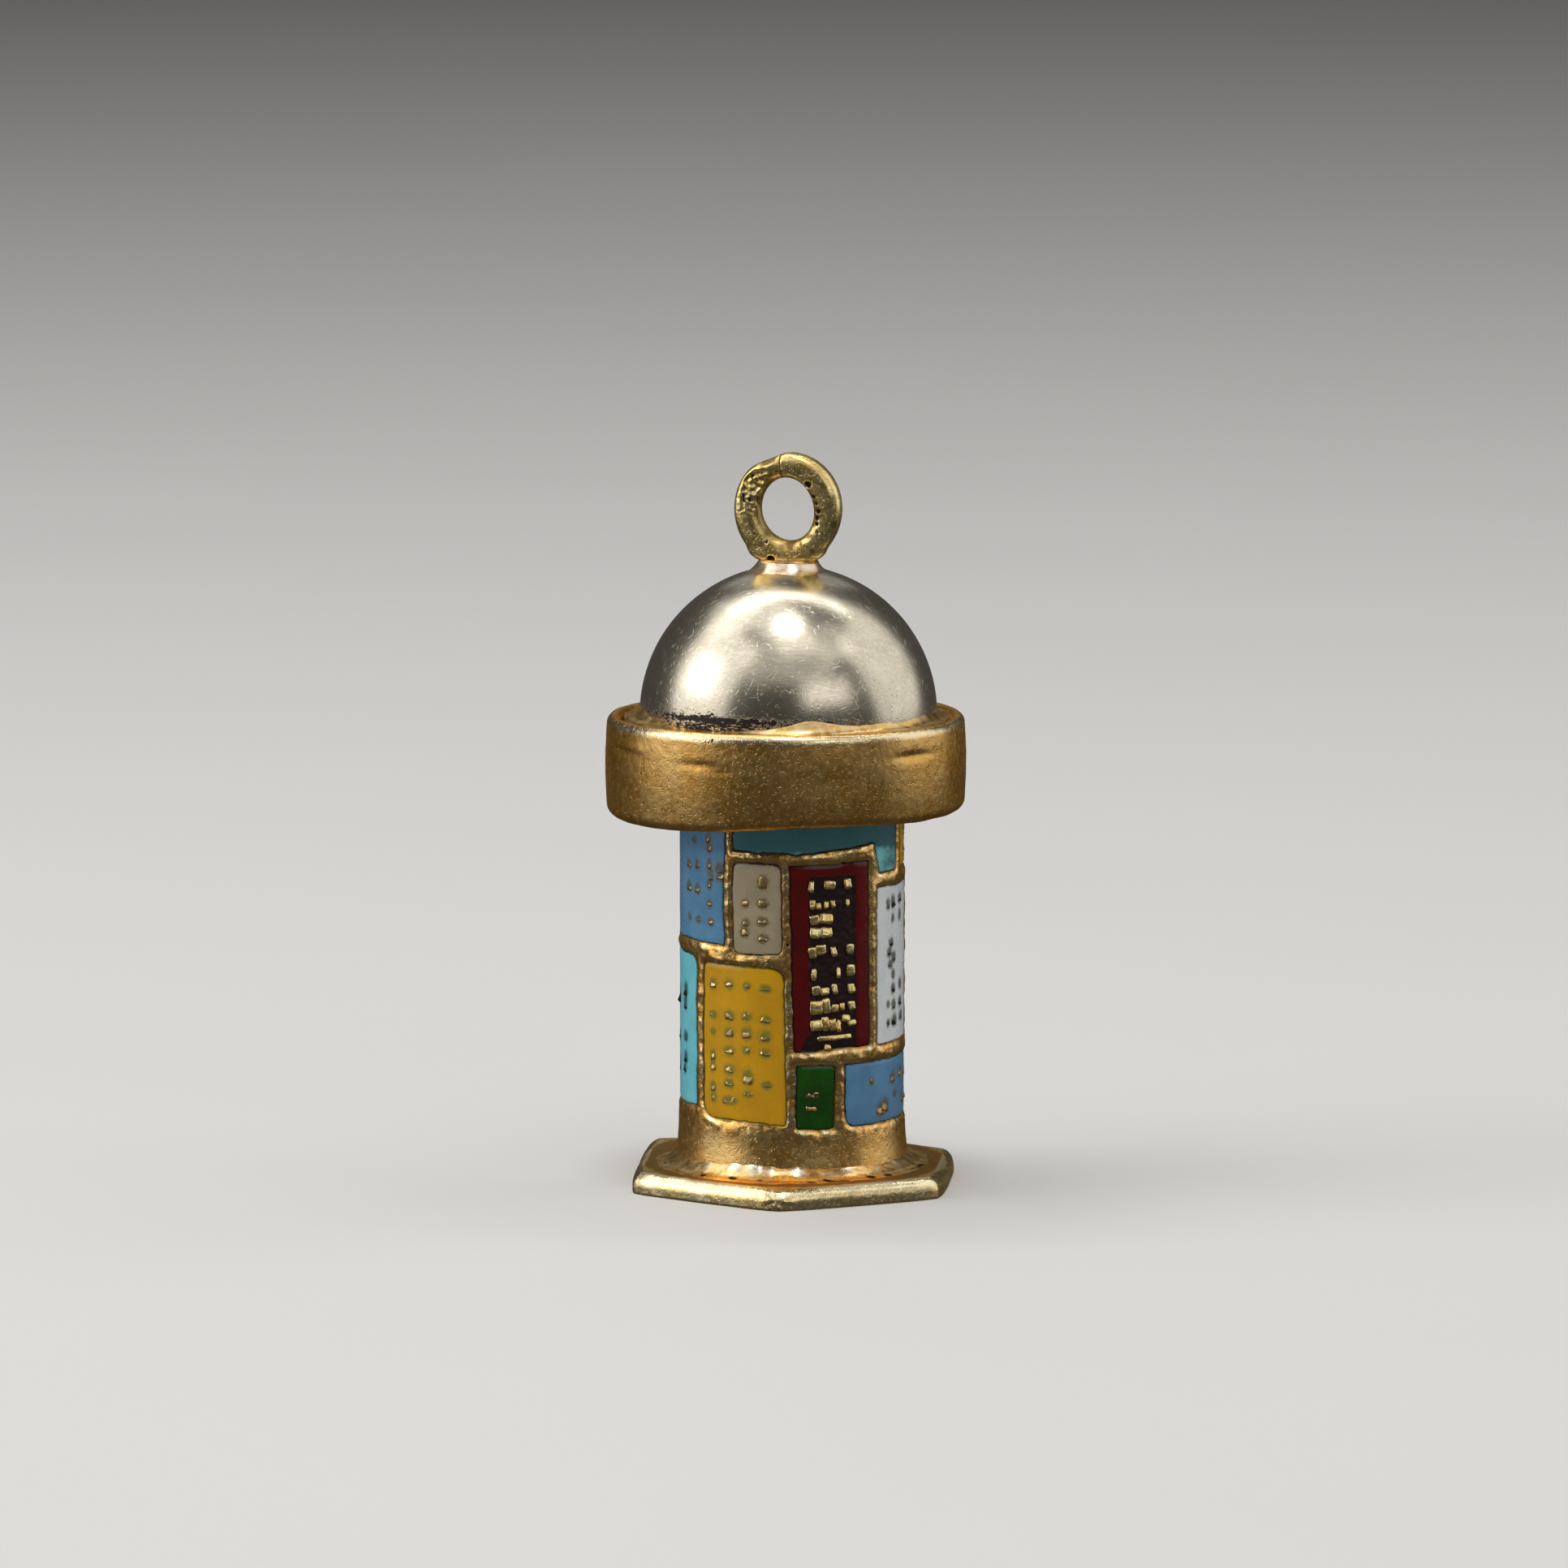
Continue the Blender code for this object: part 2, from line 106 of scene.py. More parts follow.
# Small raised marks in the posters: the bearing in degrees, then height, width and
# tallness in hundredths of a mm.
MARKS = {
    "blue_upper": (
        (-66, 955, 24, 20), (-57, 958, 20, 22), (-47, 966, 12, 30), (-46, 936, 16, 34),
        (-47, 906, 12, 22), (-66, 890, 26, 28), (-57, 888, 20, 26), (-47, 852, 15, 18),
        (-65, 802, 14, 14), (-56, 800, 18, 14), (-46, 798, 18, 18), (-48, 1042, 12, 30),
        (-47, 1016, 16, 26), (-60, 1030, 16, 16), (-40.4, 958, 20, 30), (-39.2, 934, 24, 20),
    ),
    "grey": (
        (-15, 927, 24, 36), (-24.5, 863, 16, 15), (-15, 864, 26, 20), (-24.2, 805, 16, 20),
        (-24.8, 780, 20, 24), (-15, 813, 26, 20), (-15, 764, 24, 19),
    ),
    "red": (
        (9.8, 914, 15, 32), (19.6, 918, 32, 24), (29.8, 918, 19, 28), (10.6, 862, 15, 26),
        (13.8, 856, 12, 20), (17.8, 860, 12, 22), (21.4, 862, 12, 20), (29.6, 862, 10, 20),
        (11.6, 818, 26, 26), (17.8, 820, 36, 26), (11.8, 779, 28, 28), (17.8, 780, 32, 28),
        (10.4, 722, 20, 30), (15.0, 730, 26, 26), (22.0, 722, 15, 26), (31.2, 728, 21, 26),
        (11.2, 658, 13, 32), (24.4, 660, 11, 28), (31.6, 666, 23, 30), (12.4, 612, 22, 24),
        (17.0, 608, 24, 20), (22.4, 614, 15, 26), (32.0, 612, 21, 25), (12.6, 562, 34, 36),
        (18.0, 566, 22, 40), (22.6, 558, 20, 20), (26.6, 560, 14, 20), (32.2, 562, 20, 22),
        (12.6, 510, 34, 28), (17.4, 514, 20, 38), (21.4, 510, 20, 30), (24.8, 506, 12, 34),
        (28.8, 526, 22, 18), (32.2, 510, 24, 15), (22.4, 472, 95, 12), (18.4, 444, 18, 15),
    ),
    "white": (
        (58.4, 842, 12, 26), (63.6, 846, 18, 34), (73, 850, 26, 26), (63.4, 798, 10, 20),
        (73, 802, 16, 30), (61.8, 728, 18, 24), (60.0, 702, 20, 24), (64.4, 684, 22, 28),
        (60.8, 666, 22, 20), (64, 634, 14, 22), (64, 592, 20, 25), (74, 598, 24, 26),
        (58.6, 550, 9, 12), (64.6, 544, 22, 26), (74, 546, 24, 26), (58.8, 494, 10, 18),
        (65.4, 498, 30, 30), (75, 504, 24, 24),
    ),
    "yellow": (
        (-44.4, 620, 20, 26), (-33.9, 624, 24, 22), (-23.7, 622, 19, 16), (-13.7, 618, 28, 16),
        (-44.4, 530, 20, 16), (-33.9, 532, 28, 26), (-23.7, 534, 24, 20), (-13.7, 526, 26, 18),
        (-44.4, 480, 14, 14), (-33.9, 482, 26, 24), (-23.7, 484, 26, 30), (-13.7, 478, 26, 28),
        (-33.9, 430, 28, 22), (-23.7, 434, 18, 14), (-13.7, 428, 26, 18), (-44.4, 410, 14, 30),
        (-44.4, 380, 14, 30), (-33.9, 374, 28, 20), (-22.9, 356, 26, 40), (-13.0, 336, 26, 15),
        (-33.9, 334, 28, 20), (-44.4, 318, 14, 28), (-23.4, 306, 24, 10), (-44.0, 288, 14, 22),
        (-33.6, 284, 44, 16),
    ),
    "turquoise": (
        (-70.6, 582, 22, 40), (-71.6, 544, 22, 38), (-70.6, 446, 26, 26), (-71, 384, 24, 32),
        (-72, 352, 20, 26), (-84, 560, 26, 50), (-84, 440, 26, 26), (-84, 360, 26, 50),
    ),
    "green": (
        (10.2, 308, 36, 15), (10.0, 268, 30, 12),
    ),
    "blue_lower": (
        (45.1, 333, 12, 17), (63.4, 330, 26, 28), (74, 340, 24, 26), (51.6, 246, 26, 36),
        (55.8, 256, 28, 40), (66, 284, 18, 18), (78, 260, 24, 24), (88, 330, 24, 26), (88, 260, 24, 24),
    ),
}
REAR_MARK_STEP = 10.0  # degrees between the columns of marks on the posters at the back
REAR_MARK_RISE = 0.55  # mm between their rows


# ---------------------------------------------------------------------------
# Node trees, written as sums


class Wire:
    """A node's output that takes part in Python arithmetic."""

    def __init__(self, tree, socket):
        self.tree = tree
        self.socket = socket

    def sum_of(self, operation, *values):
        return self.tree.node("ShaderNodeMath", {"operation": operation}, dict(enumerate(values)))

    def __add__(self, other):
        return self.sum_of("ADD", self, other)

    def __sub__(self, other):
        return self.sum_of("SUBTRACT", self, other)

    def __rsub__(self, other):
        return self.sum_of("SUBTRACT", other, self)

    def __mul__(self, other):
        return self.sum_of("MULTIPLY", self, other)

    def __truediv__(self, other):
        return self.sum_of("DIVIDE", self, other)

    def __rtruediv__(self, other):
        return self.sum_of("DIVIDE", other, self)

    def __abs__(self):
        return self.sum_of("ABSOLUTE", self)

    __radd__ = __add__
    __rmul__ = __mul__


class Tree:
    """A node tree, for a material or for geometry."""

    def __init__(self, tree):
        self.tree = tree

    def node(self, kind, settings=None, values=None, output=0):
        """Adds a node. Its settings are set first, then the values or links of its
        sockets, by name or number. Returns the output asked for."""
        made = self.tree.nodes.new(kind)
        for name, value in (settings or {}).items():
            setattr(made, name, value)
        for key, value in (values or {}).items():
            socket = made.inputs[key]
            if isinstance(value, Wire):
                self.tree.links.new(value.socket, socket)
            else:
                socket.default_value = value
        return Wire(self, made.outputs[output])

    def blend(self, first, second, share):
        """A colour between two."""
        settings = {"data_type": "RGBA", "clamp_factor": True}
        return self.node("ShaderNodeMix", settings, {0: share, 6: rgba(first), 7: rgba(second)}, 2)

    def step(self, value, low, high):
        """0 below low and 1 above high, with a soft rise between. low may be the larger."""
        settings = {"interpolation_type": "SMOOTHSTEP"}
        return self.node("ShaderNodeMapRange", settings, {0: value, 1: low, 2: high})

    def grain(self, place, size, detail=2.0, roughness=0.55, distortion=0.0, output=0):
        """Noise about 0.5 whose lumps are `size` mm across."""
        values = {"Vector": place, "Scale": 1.0 / size, "Detail": detail}
        values |= {"Roughness": roughness, "Distortion": distortion}
        return self.node("ShaderNodeTexNoise", None, values, output)

    def spots(self, place, spacing):
        """Distance from scattered points, 0 at each, in shares of their spacing."""
        return self.node("ShaderNodeTexVoronoi", None, {"Vector": place, "Scale": 1.0 / spacing})

    def vector(self, operation, first, second):
        """Vector arithmetic. SCALE takes a number second."""
        key = "Scale" if operation == "SCALE" else 1
        return self.node("ShaderNodeVectorMath", {"operation": operation}, {0: first, key: second})

    def moved(self, geometry, offset):
        values = {"Geometry": geometry, "Offset": offset}
        return self.node("GeometryNodeSetPosition", None, values)


def rgba(colour):
    return colour if isinstance(colour, Wire) else (*colour, 1.0)


class Finish(Tree):
    """A material with one Principled shader, whose places are read in mm."""

    def __init__(self, name, **constants):
        self.material = bpy.data.materials.new(name)
        self.material.use_nodes = True
        super().__init__(self.material.node_tree)
        self.shader = self.tree.nodes["Principled BSDF"]
        for socket, value in constants.items():
            self.shader.inputs[socket.replace("_", " ")].default_value = value
        self.metres = self.node("ShaderNodeTexCoord", output=3)

    def place(self, turn=(0, 0, 0), stretch=(1, 1, 1)):
        """Object coordinates in mm, turned by degrees and stretched."""
        values = {
            "Vector": self.metres,
            "Rotation": tuple(math.radians(a) for a in turn),
            "Scale": tuple(s / MM for s in stretch),
        }
        return self.node("ShaderNodeMapping", None, values)

    def attribute(self, name):
        return self.node("ShaderNodeAttribute", {"attribute_name": name}, output=2)

    def scratches(self, turns, length=2.2, width=0.14, share=0.30):
        """Fine straight scratches, one set for each turn, 1 on a scratch and 0 off it."""
        total = 0.0
        for turn in turns:
            place = self.place(turn, (1 / length, 1 / width, 1 / width))
            line = self.grain(place, 1.0, detail=1.0)
            mask = self.step(abs(line - 0.5), 0.075, 0.025)
            patch = self.step(self.grain(self.place(turn), 0.7), 0.62 - share / 2, 0.72 - share / 2)
            total = mask * patch + total
        return total

    def curls(self, place, size, width, seed=0.0):
        """Hair scratches that curl: broken contour lines of a slow noise."""
        shifted = self.vector("ADD", place, (seed,) * 3)
        line = self.grain(shifted, size, detail=1.0, distortion=0.8)
        patch = self.grain(shifted, size * 0.6, detail=2.0)
        return self.step(abs(line - 0.5), width, width / 3) * self.step(patch, 0.54, 0.62)

    def bump(self, layers):
        """A normal from (height, depth in mm) layers."""
        normal = None
        for height, depth in layers:
            values = {"Height": height, "Distance": depth * MM, "Strength": 1.0}
            if normal:
                values["Normal"] = normal
            normal = self.node("ShaderNodeBump", None, values)
        return normal

    def done(self, colour, roughness, normal=None, **others):
        links = {"Base Color": colour, "Roughness": roughness, "Normal": normal, **others}
        for name, value in links.items():
            socket = self.shader.inputs[name.replace("_", " ")]
            if isinstance(value, Wire):
                self.tree.links.new(value.socket, socket)
            elif value is not None:
                socket.default_value = value
        return self.material


# ---------------------------------------------------------------------------
# Finishes


# Each gold's warm, pale and dark colours (the dark one for tarnish and painted shade), its roughness and
# its scratches' depth in mm.
GOLDS = {
    "collar satin gold": ((0.77, 0.415, 0.100), (0.92, 0.575, 0.205), (0.24, 0.10, 0.025), 0.34, 0.004),
    "poster wall gold": ((0.92, 0.50, 0.135), (1.00, 0.69, 0.28), (0.18, 0.08, 0.016), 0.31, 0.003),
    "foot plate gold": ((0.95, 0.68, 0.28), (1.00, 0.86, 0.50), (0.17, 0.070, 0.015), 0.31, 0.003),
    "eyelet gold": ((0.86, 0.60, 0.19), (0.98, 0.80, 0.38), (0.15, 0.090, 0.025), 0.29, 0.004),
    "mark gold": ((1.00, 0.68, 0.24), (1.00, 0.85, 0.43), (0.22, 0.14, 0.06), 0.30, 0.004),
}
SOLDERS = {  # warm and pale
    "gold solder": ((0.84, 0.52, 0.18), (0.90, 0.68, 0.34)),
    "pale solder": ((0.86, 0.64, 0.42), (0.88, 0.80, 0.64)),
}


def satin_gold(name, warm, pale, dark, roughness, scratch):
    """Satin gold alloy: warm and pale patches, a fine grain and hair scratches, dark
    tarnish in its pits and hollows, tarnish and painted shade where a piece asks for
    them, and bright edges, rubbed and with a painted highlight."""
    grain = 0.004  # depth in mm
    gold = Finish(name, Metallic=1.0, Specular_Tint=(0.95, 0.70, 0.38, 1.0))
    place = gold.place()
    cloud = gold.grain(place, 1.1, detail=4)
    patch = gold.grain(place, 0.20, detail=3)
    fine = gold.grain(place, 0.05, detail=2)
    marks = gold.curls(place, 0.24, 0.040) + gold.curls(place, 0.16, 0.035, 5.0)
    soil = gold.attribute("soil")
    pits = gold.attribute("pits")
    # Rubbed edges, partly a painted highlight: blended to pale gold and made smoother below.
    polish = gold.step(gold.attribute("polish") + (patch - 0.5) * 0.5, 0.15, 0.85)
    # Towards the dark colour: tarnish, and painted shade where a piece paints it.
    shade = gold.step(soil + (patch - 0.5) * 0.7, 0.30, 0.95)
    hollow = gold.step(pits + (patch - 0.5) * 0.3, 0.2, 0.75)
    colour = gold.blend(warm, pale, gold.step(cloud * 0.6 + patch * 0.4, 0.38, 0.62))
    colour = gold.blend(colour, pale, marks * 0.3)
    colour = gold.blend(colour, dark, shade * 0.85)
    colour = gold.blend(colour, (1.00, 0.88, 0.58), polish * 0.75)
    colour = gold.blend(colour, (0.015, 0.010, 0.008), hollow)
    rough = (patch - 0.5) * 0.20 + (fine - 0.5) * 0.12 + roughness
    rough = rough - marks * 0.1 + shade * 0.2 + hollow * 0.25 - polish * 0.10
    normal = gold.bump(((fine, grain), (patch, grain * 2.6), (marks, -scratch)))
    metal = 1.0 - hollow * 0.6
    return gold.done(colour, rough, normal, Metallic=metal)


def dome_silver(name):
    """Satin silver, rubbed in all directions, stained gold at the crown and black with
    tarnish along its lower edge."""
    silver = Finish(name, Metallic=1.0)
    place = silver.place()
    cloud = silver.grain(place, 1.3, detail=4)
    fine = silver.grain(place, 0.06, detail=3)
    flaky = silver.grain(silver.place(stretch=(1, 1, 2.6)), 0.17, detail=4, roughness=0.7)
    hairs = silver.curls(place, 0.55, 0.020) + silver.curls(place, 0.36, 0.026, 7.0)
    scratches = silver.scratches(((70, 10, 20), (15, 60, -40), (-50, -25, 70), (20, -70, 10)))
    marks = scratches * 0.6 + hairs
    stain = silver.attribute("stain")
    soot = silver.attribute("soil")
    gilt = silver.step(stain + (silver.grain(place, 0.35, detail=4) - 0.5) * 1.6, 0.25, 0.95)
    black = silver.step(soot + (flaky - 0.5) * 2.6, 0.52, 0.62)
    colour = silver.blend((0.70, 0.63, 0.49), (0.63, 0.56, 0.43), silver.step(cloud, 0.35, 0.7))
    colour = silver.blend(colour, (0.88, 0.81, 0.66), marks * 0.4)
    colour = silver.blend(colour, (0.80, 0.62, 0.34), gilt * 0.32)
    colour = silver.blend(colour, (0.020, 0.012, 0.012), black)
    rough = (cloud - 0.5) * 0.06 + (fine - 0.5) * 0.05 + 0.24 + black * 0.3
    normal = silver.bump(((fine, 0.0018), (hairs, -0.0022), (black, 0.004)))
    return silver.done(colour, rough, normal, Metallic=1.0 - black * 0.7)


def bright_solder(name, warm, pale):
    """Solder that ran and set: smooth, pale, with dull patches and a painted highlight on its beads."""
    solder = Finish(name, Metallic=1.0, Specular_Tint=(0.95, 0.78, 0.50, 1.0))
    place = solder.place()
    patch = solder.grain(place, 0.30, detail=3)
    fine = solder.grain(place, 0.06, detail=2)
    hollow = solder.step(solder.attribute("pits") + solder.attribute("soil") + (fine - 0.5) * 0.5, 0.3, 0.8)
    colour = solder.blend(warm, pale, solder.step(patch, 0.40, 0.60))
    # Painted highlight: near-white shine where a piece marks its beads.
    bead = solder.attribute("bead")
    colour = solder.blend(colour, (0.95, 0.90, 0.78), bead)
    colour = solder.blend(colour, (0.03, 0.018, 0.01), hollow)
    rough = (patch - 0.5) * 0.25 + (fine - 0.5) * 0.1 + 0.30 + hollow * 0.3 - bead * 0.14
    normal = solder.bump(((fine, 0.002), (patch, 0.004)))
    return solder.done(colour, rough, normal)


def vitreous(name, body, depth, rim, halo):
    """Vitreous enamel: glossy glass, uneven in depth, dark where it thins at its rim and
    stained round each mark, with painted shade darkening it towards the top, under the
    collar."""
    glass = Finish(name, Coat_Weight=0.15, Coat_Roughness=0.12, Specular_IOR_Level=0.30)
    place = glass.place()
    cloud = glass.grain(place, 0.9, detail=3)
    fleck = glass.grain(place, 0.09, detail=3, roughness=0.65)
    edge = glass.attribute("edge")
    near = glass.attribute("near_mark")
    block = glass.attribute("block")
    # Painted shade: 'deep' is the collar's shadow, which pulls the colour to the deeper tone.
    deep = glass.attribute("deep")
    colour = glass.blend(body, depth, glass.step(cloud * 0.7 + fleck * 0.3 + deep * 0.3, 0.36, 0.66))
    colour = glass.blend(colour, halo, glass.step(near + (fleck - 0.5) * 0.8, 0.25, 0.85) * 0.85)
    colour = glass.blend(colour, (0.018, 0.004, 0.006), glass.step(block + (fleck - 0.5) * 0.3, 0.3, 0.7))
    colour = glass.blend(colour, rim, glass.step(edge + (fleck - 0.5) * 0.5, 0.35, 0.85))
    rough = (fleck - 0.5) * 0.16 + (cloud - 0.5) * 0.1 + 0.26 + block * 0.2
    normal = glass.bump(((fleck, 0.004), (cloud, 0.02)))
    return glass.done(colour, rough, normal)


# The deeper tone also paints the shade under the collar.
ENAMEL_COLOURS = {  # body, deeper tone, rim, stain round the marks
    "blue": ((0.106, 0.262, 0.425), (0.078, 0.205, 0.360), (0.008, 0.016, 0.022), (0.13, 0.09, 0.05)),
    "grey": ((0.370, 0.310, 0.195), (0.290, 0.245, 0.150), (0.012, 0.010, 0.006), (0.12, 0.075, 0.03)),
    "teal": ((0.200, 0.540, 0.560), (0.030, 0.115, 0.128), (0.006, 0.012, 0.010), (0.05, 0.06, 0.04)),
    "red": ((0.110, 0.0005, 0.0005), (0.075, 0.0005, 0.0005), (0.010, 0.002, 0.002), (0.02, 0.003, 0.003)),
    "white": ((0.720, 0.750, 0.750), (0.600, 0.640, 0.650), (0.060, 0.055, 0.045), (0.05, 0.05, 0.03)),
    "yellow": ((0.625, 0.320, 0.002), (0.525, 0.265, 0.002), (0.060, 0.100, 0.006), (0.15, 0.17, 0.03)),
    "turquoise": ((0.170, 0.560, 0.640), (0.120, 0.470, 0.550), (0.008, 0.025, 0.020), (0.02, 0.05, 0.05)),
    "green": ((0.010, 0.078, 0.003), (0.006, 0.050, 0.002), (0.003, 0.012, 0.002), (0.03, 0.03, 0.01)),
}


def studio_floor(name):
    paper = Finish(name)
    cloud = paper.grain(paper.place(), 40.0, detail=2)
    colour = paper.blend((0.80, 0.79, 0.77), (0.77, 0.76, 0.74), cloud)
    return paper.done(colour, 0.85)


# ---------------------------------------------------------------------------
# Shapes, in millimetres


class Axis:
    """A CAD node's upright axis and its sizes, in mm."""

    def __init__(self, node):
        low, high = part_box(node)
        self.x = (low.x + high.x) / 2 / MM
        self.radius = (high.x - low.x) / 2 / MM
        self.low = low.z / MM
        self.high = high.z / MM


def bearings(count, start=0.0):
    return start + np.arange(count) * 360.0 / count


def around(axis_x, radius, bearing, height):
    """Points at a radius and bearing from an upright axis, as an array (..., 3)."""
    turn = np.radians(bearing)
    radius, turn, height = np.broadcast_arrays(radius, turn, height)
    return np.stack((axis_x + radius * np.sin(turn), -radius * np.cos(turn), height), axis=-1)


def lumps(points, size, seed=0.0):
    """Smooth noise from -1 to 1 at each point, its lumps `size` mm across."""
    flat = points.reshape(-1, 3) / size + seed
    values = np.fromiter((noise.noise(p) for p in flat.tolist()), float, len(flat))
    return values.reshape(points.shape[:-1])


def bell(distance, width):
    return np.exp(-((distance / width) ** 2))


def soft_step(value, low, high):
    share = np.clip((value - low) / (high - low), 0.0, 1.0)
    return share * share * (3 - 2 * share)


def off_bearing(bearing, centre):
    """Degrees from a centre bearing, -180 to 180."""
    return (bearing - centre + 180.0) % 360.0 - 180.0


def beside(bearing, centre, width):
    """1 at a centre bearing, falling away over a width in degrees."""
    return bell(off_bearing(bearing, centre), width)


def woven(points, closed_rows=True, **attributes):
    """A mesh from rows of points. Each row is a ring round the piece. The rows go up the
    outside; they close on themselves, or the first and last rows shrink to poles."""
    rows, columns = points.shape[:2]
    index = np.arange(rows * columns).reshape(rows, columns)
    lower = index if closed_rows else index[:-1]
    upper = np.roll(index, -1, axis=0) if closed_rows else index[1:]
    corners = (lower, np.roll(lower, -1, axis=1), np.roll(upper, -1, axis=1), upper)
    faces = np.stack(corners, axis=-1).reshape(-1, 4)
    mesh = bpy.data.meshes.new("woven")
    mesh.from_pydata(points.reshape(-1, 3).tolist(), [], faces.tolist())
    for key, values in attributes.items():
        add_attribute(mesh, key, np.broadcast_to(values, (rows, columns)))
    if not closed_rows:
        merge_doubles(mesh)
    return mesh


def add_attribute(mesh, key, values):
    layer = mesh.attributes.new(key, "FLOAT", "POINT")
    layer.data.foreach_set("value", np.asarray(values, np.float32).ravel())


def merge_doubles(mesh, distance=1e-4):
    bm = bmesh.new()
    bm.from_mesh(mesh)
    bmesh.ops.remove_doubles(bm, verts=bm.verts, dist=distance)
    bmesh.ops.recalc_face_normals(bm, faces=bm.faces)
    bm.to_mesh(mesh)
    bm.free()


def section(inner, outer, low, high, corners, spacing):
    """A wall's closed outline as (radius, height) points: up the outside, over the top
    and down the inside. Corners are the roundings at outer low, outer high, inner high
    and inner low."""
    places = ((outer, low, -90), (outer, high, 0), (inner, high, 90), (inner, low, 180))
    inward = ((-1, 1), (-1, -1), (1, -1), (1, 1))
    outline = []
    for (r, z, start), (dr, dz), size in zip(places, inward, corners):
        steps = max(2, round(size * math.pi / 2 / spacing))
        for turn in np.radians(np.linspace(start, start + 90, steps + 1)):
            across = r + dr * size + size * math.cos(turn)
            up = z + dz * size + size * math.sin(turn)
            outline.append((across, up))
    return densified(np.array(outline), spacing)


def densified(outline, spacing):
    """A closed outline with points no more than `spacing` apart."""
    dense = []
    for here, after in zip(outline, np.roll(outline, -1, axis=0)):
        steps = max(1, math.ceil(np.linalg.norm(after - here) / spacing))
        dense.extend(here + (after - here) * i / steps for i in range(steps))
    return np.array(dense)


# ---------------------------------------------------------------------------
# Wear that repeats over the metal, as one geometry tree


def geometry_tree(name, sizes):
    """An empty geometry tree with a Geometry input, the named sizes and a Material."""
    tree = bpy.data.node_groups.new(name, "GeometryNodeTree")
    face = tree.interface
    face.new_socket("Geometry", in_out="OUTPUT", socket_type="NodeSocketGeometry")
    face.new_socket("Geometry", in_out="INPUT", socket_type="NodeSocketGeometry")
    for size, value in sizes.items():
        socket = face.new_socket(size, in_out="INPUT", socket_type="NodeSocketFloat")
        socket.default_value = value
    face.new_socket("Material", in_out="INPUT", socket_type="NodeSocketMaterial")
    build = Tree(tree)
    entry = tree.nodes.new("NodeGroupInput")
    inputs = {s.name: Wire(build, s) for s in entry.outputs if s.name}
    return build, inputs


def end_tree(build, geometry, material):
    """Realises instances, sets the material and joins the tree's output."""
    real = build.node("GeometryNodeRealizeInstances", None, {0: geometry})
    painted = build.node("GeometryNodeSetMaterial", None, {0: real, 2: material})
    exit_node = build.tree.nodes.new("NodeGroupOutput")
    build.tree.links.new(painted.socket, exit_node.inputs[0])
    return build.tree


WEAR_SIZES = (
    "Lump Size",
    "Lump Depth",
    "Grain Size",
    "Grain Depth",
    "Pit Spacing",
    "Pit Depth",
    "Pit Share",
)
WEAR = {  # by piece, in the order of WEAR_SIZES: in mm, and a share of the surface
    "column_skin": (0.5, 0.006, 0.11, 0.003, 0.22, 0.012, 0.06),
    "hoop": (0.55, 0.009, 0.14, 0.0035, 0.16, 0.006, 0.06),
    "collar_floor": (0.8, 0.006, 0.15, 0.003, 0.3, 0.02, 0.3),
    "groove_solder": (0.4, 0.010, 0.12, 0.004, 0.3, 0.02, 0.1),
    "foot_plate": (0.4, 0.006, 0.12, 0.003, 0.26, 0.02, 0.12),
    "foot_solder": (0.35, 0.016, 0.12, 0.004, 0.35, 0.02, 0.06),
}


def worn_metal_tree():
    """Moves a surface along its normals: lumps, a fine grain and patches of casting pits.
    The pits are stored, so that the finish can darken them."""
    build, given = geometry_tree("worn metal", dict(zip(WEAR_SIZES, WEAR["collar_floor"])))
    place = build.node("GeometryNodeInputPosition")
    normal = build.node("GeometryNodeInputNormal")
    spacing = given["Pit Spacing"]
    share = given["Pit Share"] * 0.5
    lump = build.grain(place, given["Lump Size"], 2.0, roughness=0.5) - 0.5
    fine = build.grain(place, given["Grain Size"], 3.0, roughness=0.5) - 0.5
    region = build.grain(place, spacing * 4.0, 1.0, roughness=0.5)
    patch = build.step(region, 0.75 - share, 0.8 - share)
    pits = build.step(build.spots(place, spacing) + fine * 0.3, 0.42, 0.18) * patch
    rise = lump * given["Lump Depth"] * 2.0 + fine * given["Grain Depth"] * 2.0
    rise = rise - pits * given["Pit Depth"]
    moved = build.moved(given["Geometry"], build.vector("SCALE", normal, rise))
    kind = {"data_type": "FLOAT", "domain": "POINT"}
    values = {"Geometry": moved, "Name": "pits", "Value": pits}
    stored = build.node("GeometryNodeStoreNamedAttribute", kind, values)
    return end_tree(build, stored, given["Material"])


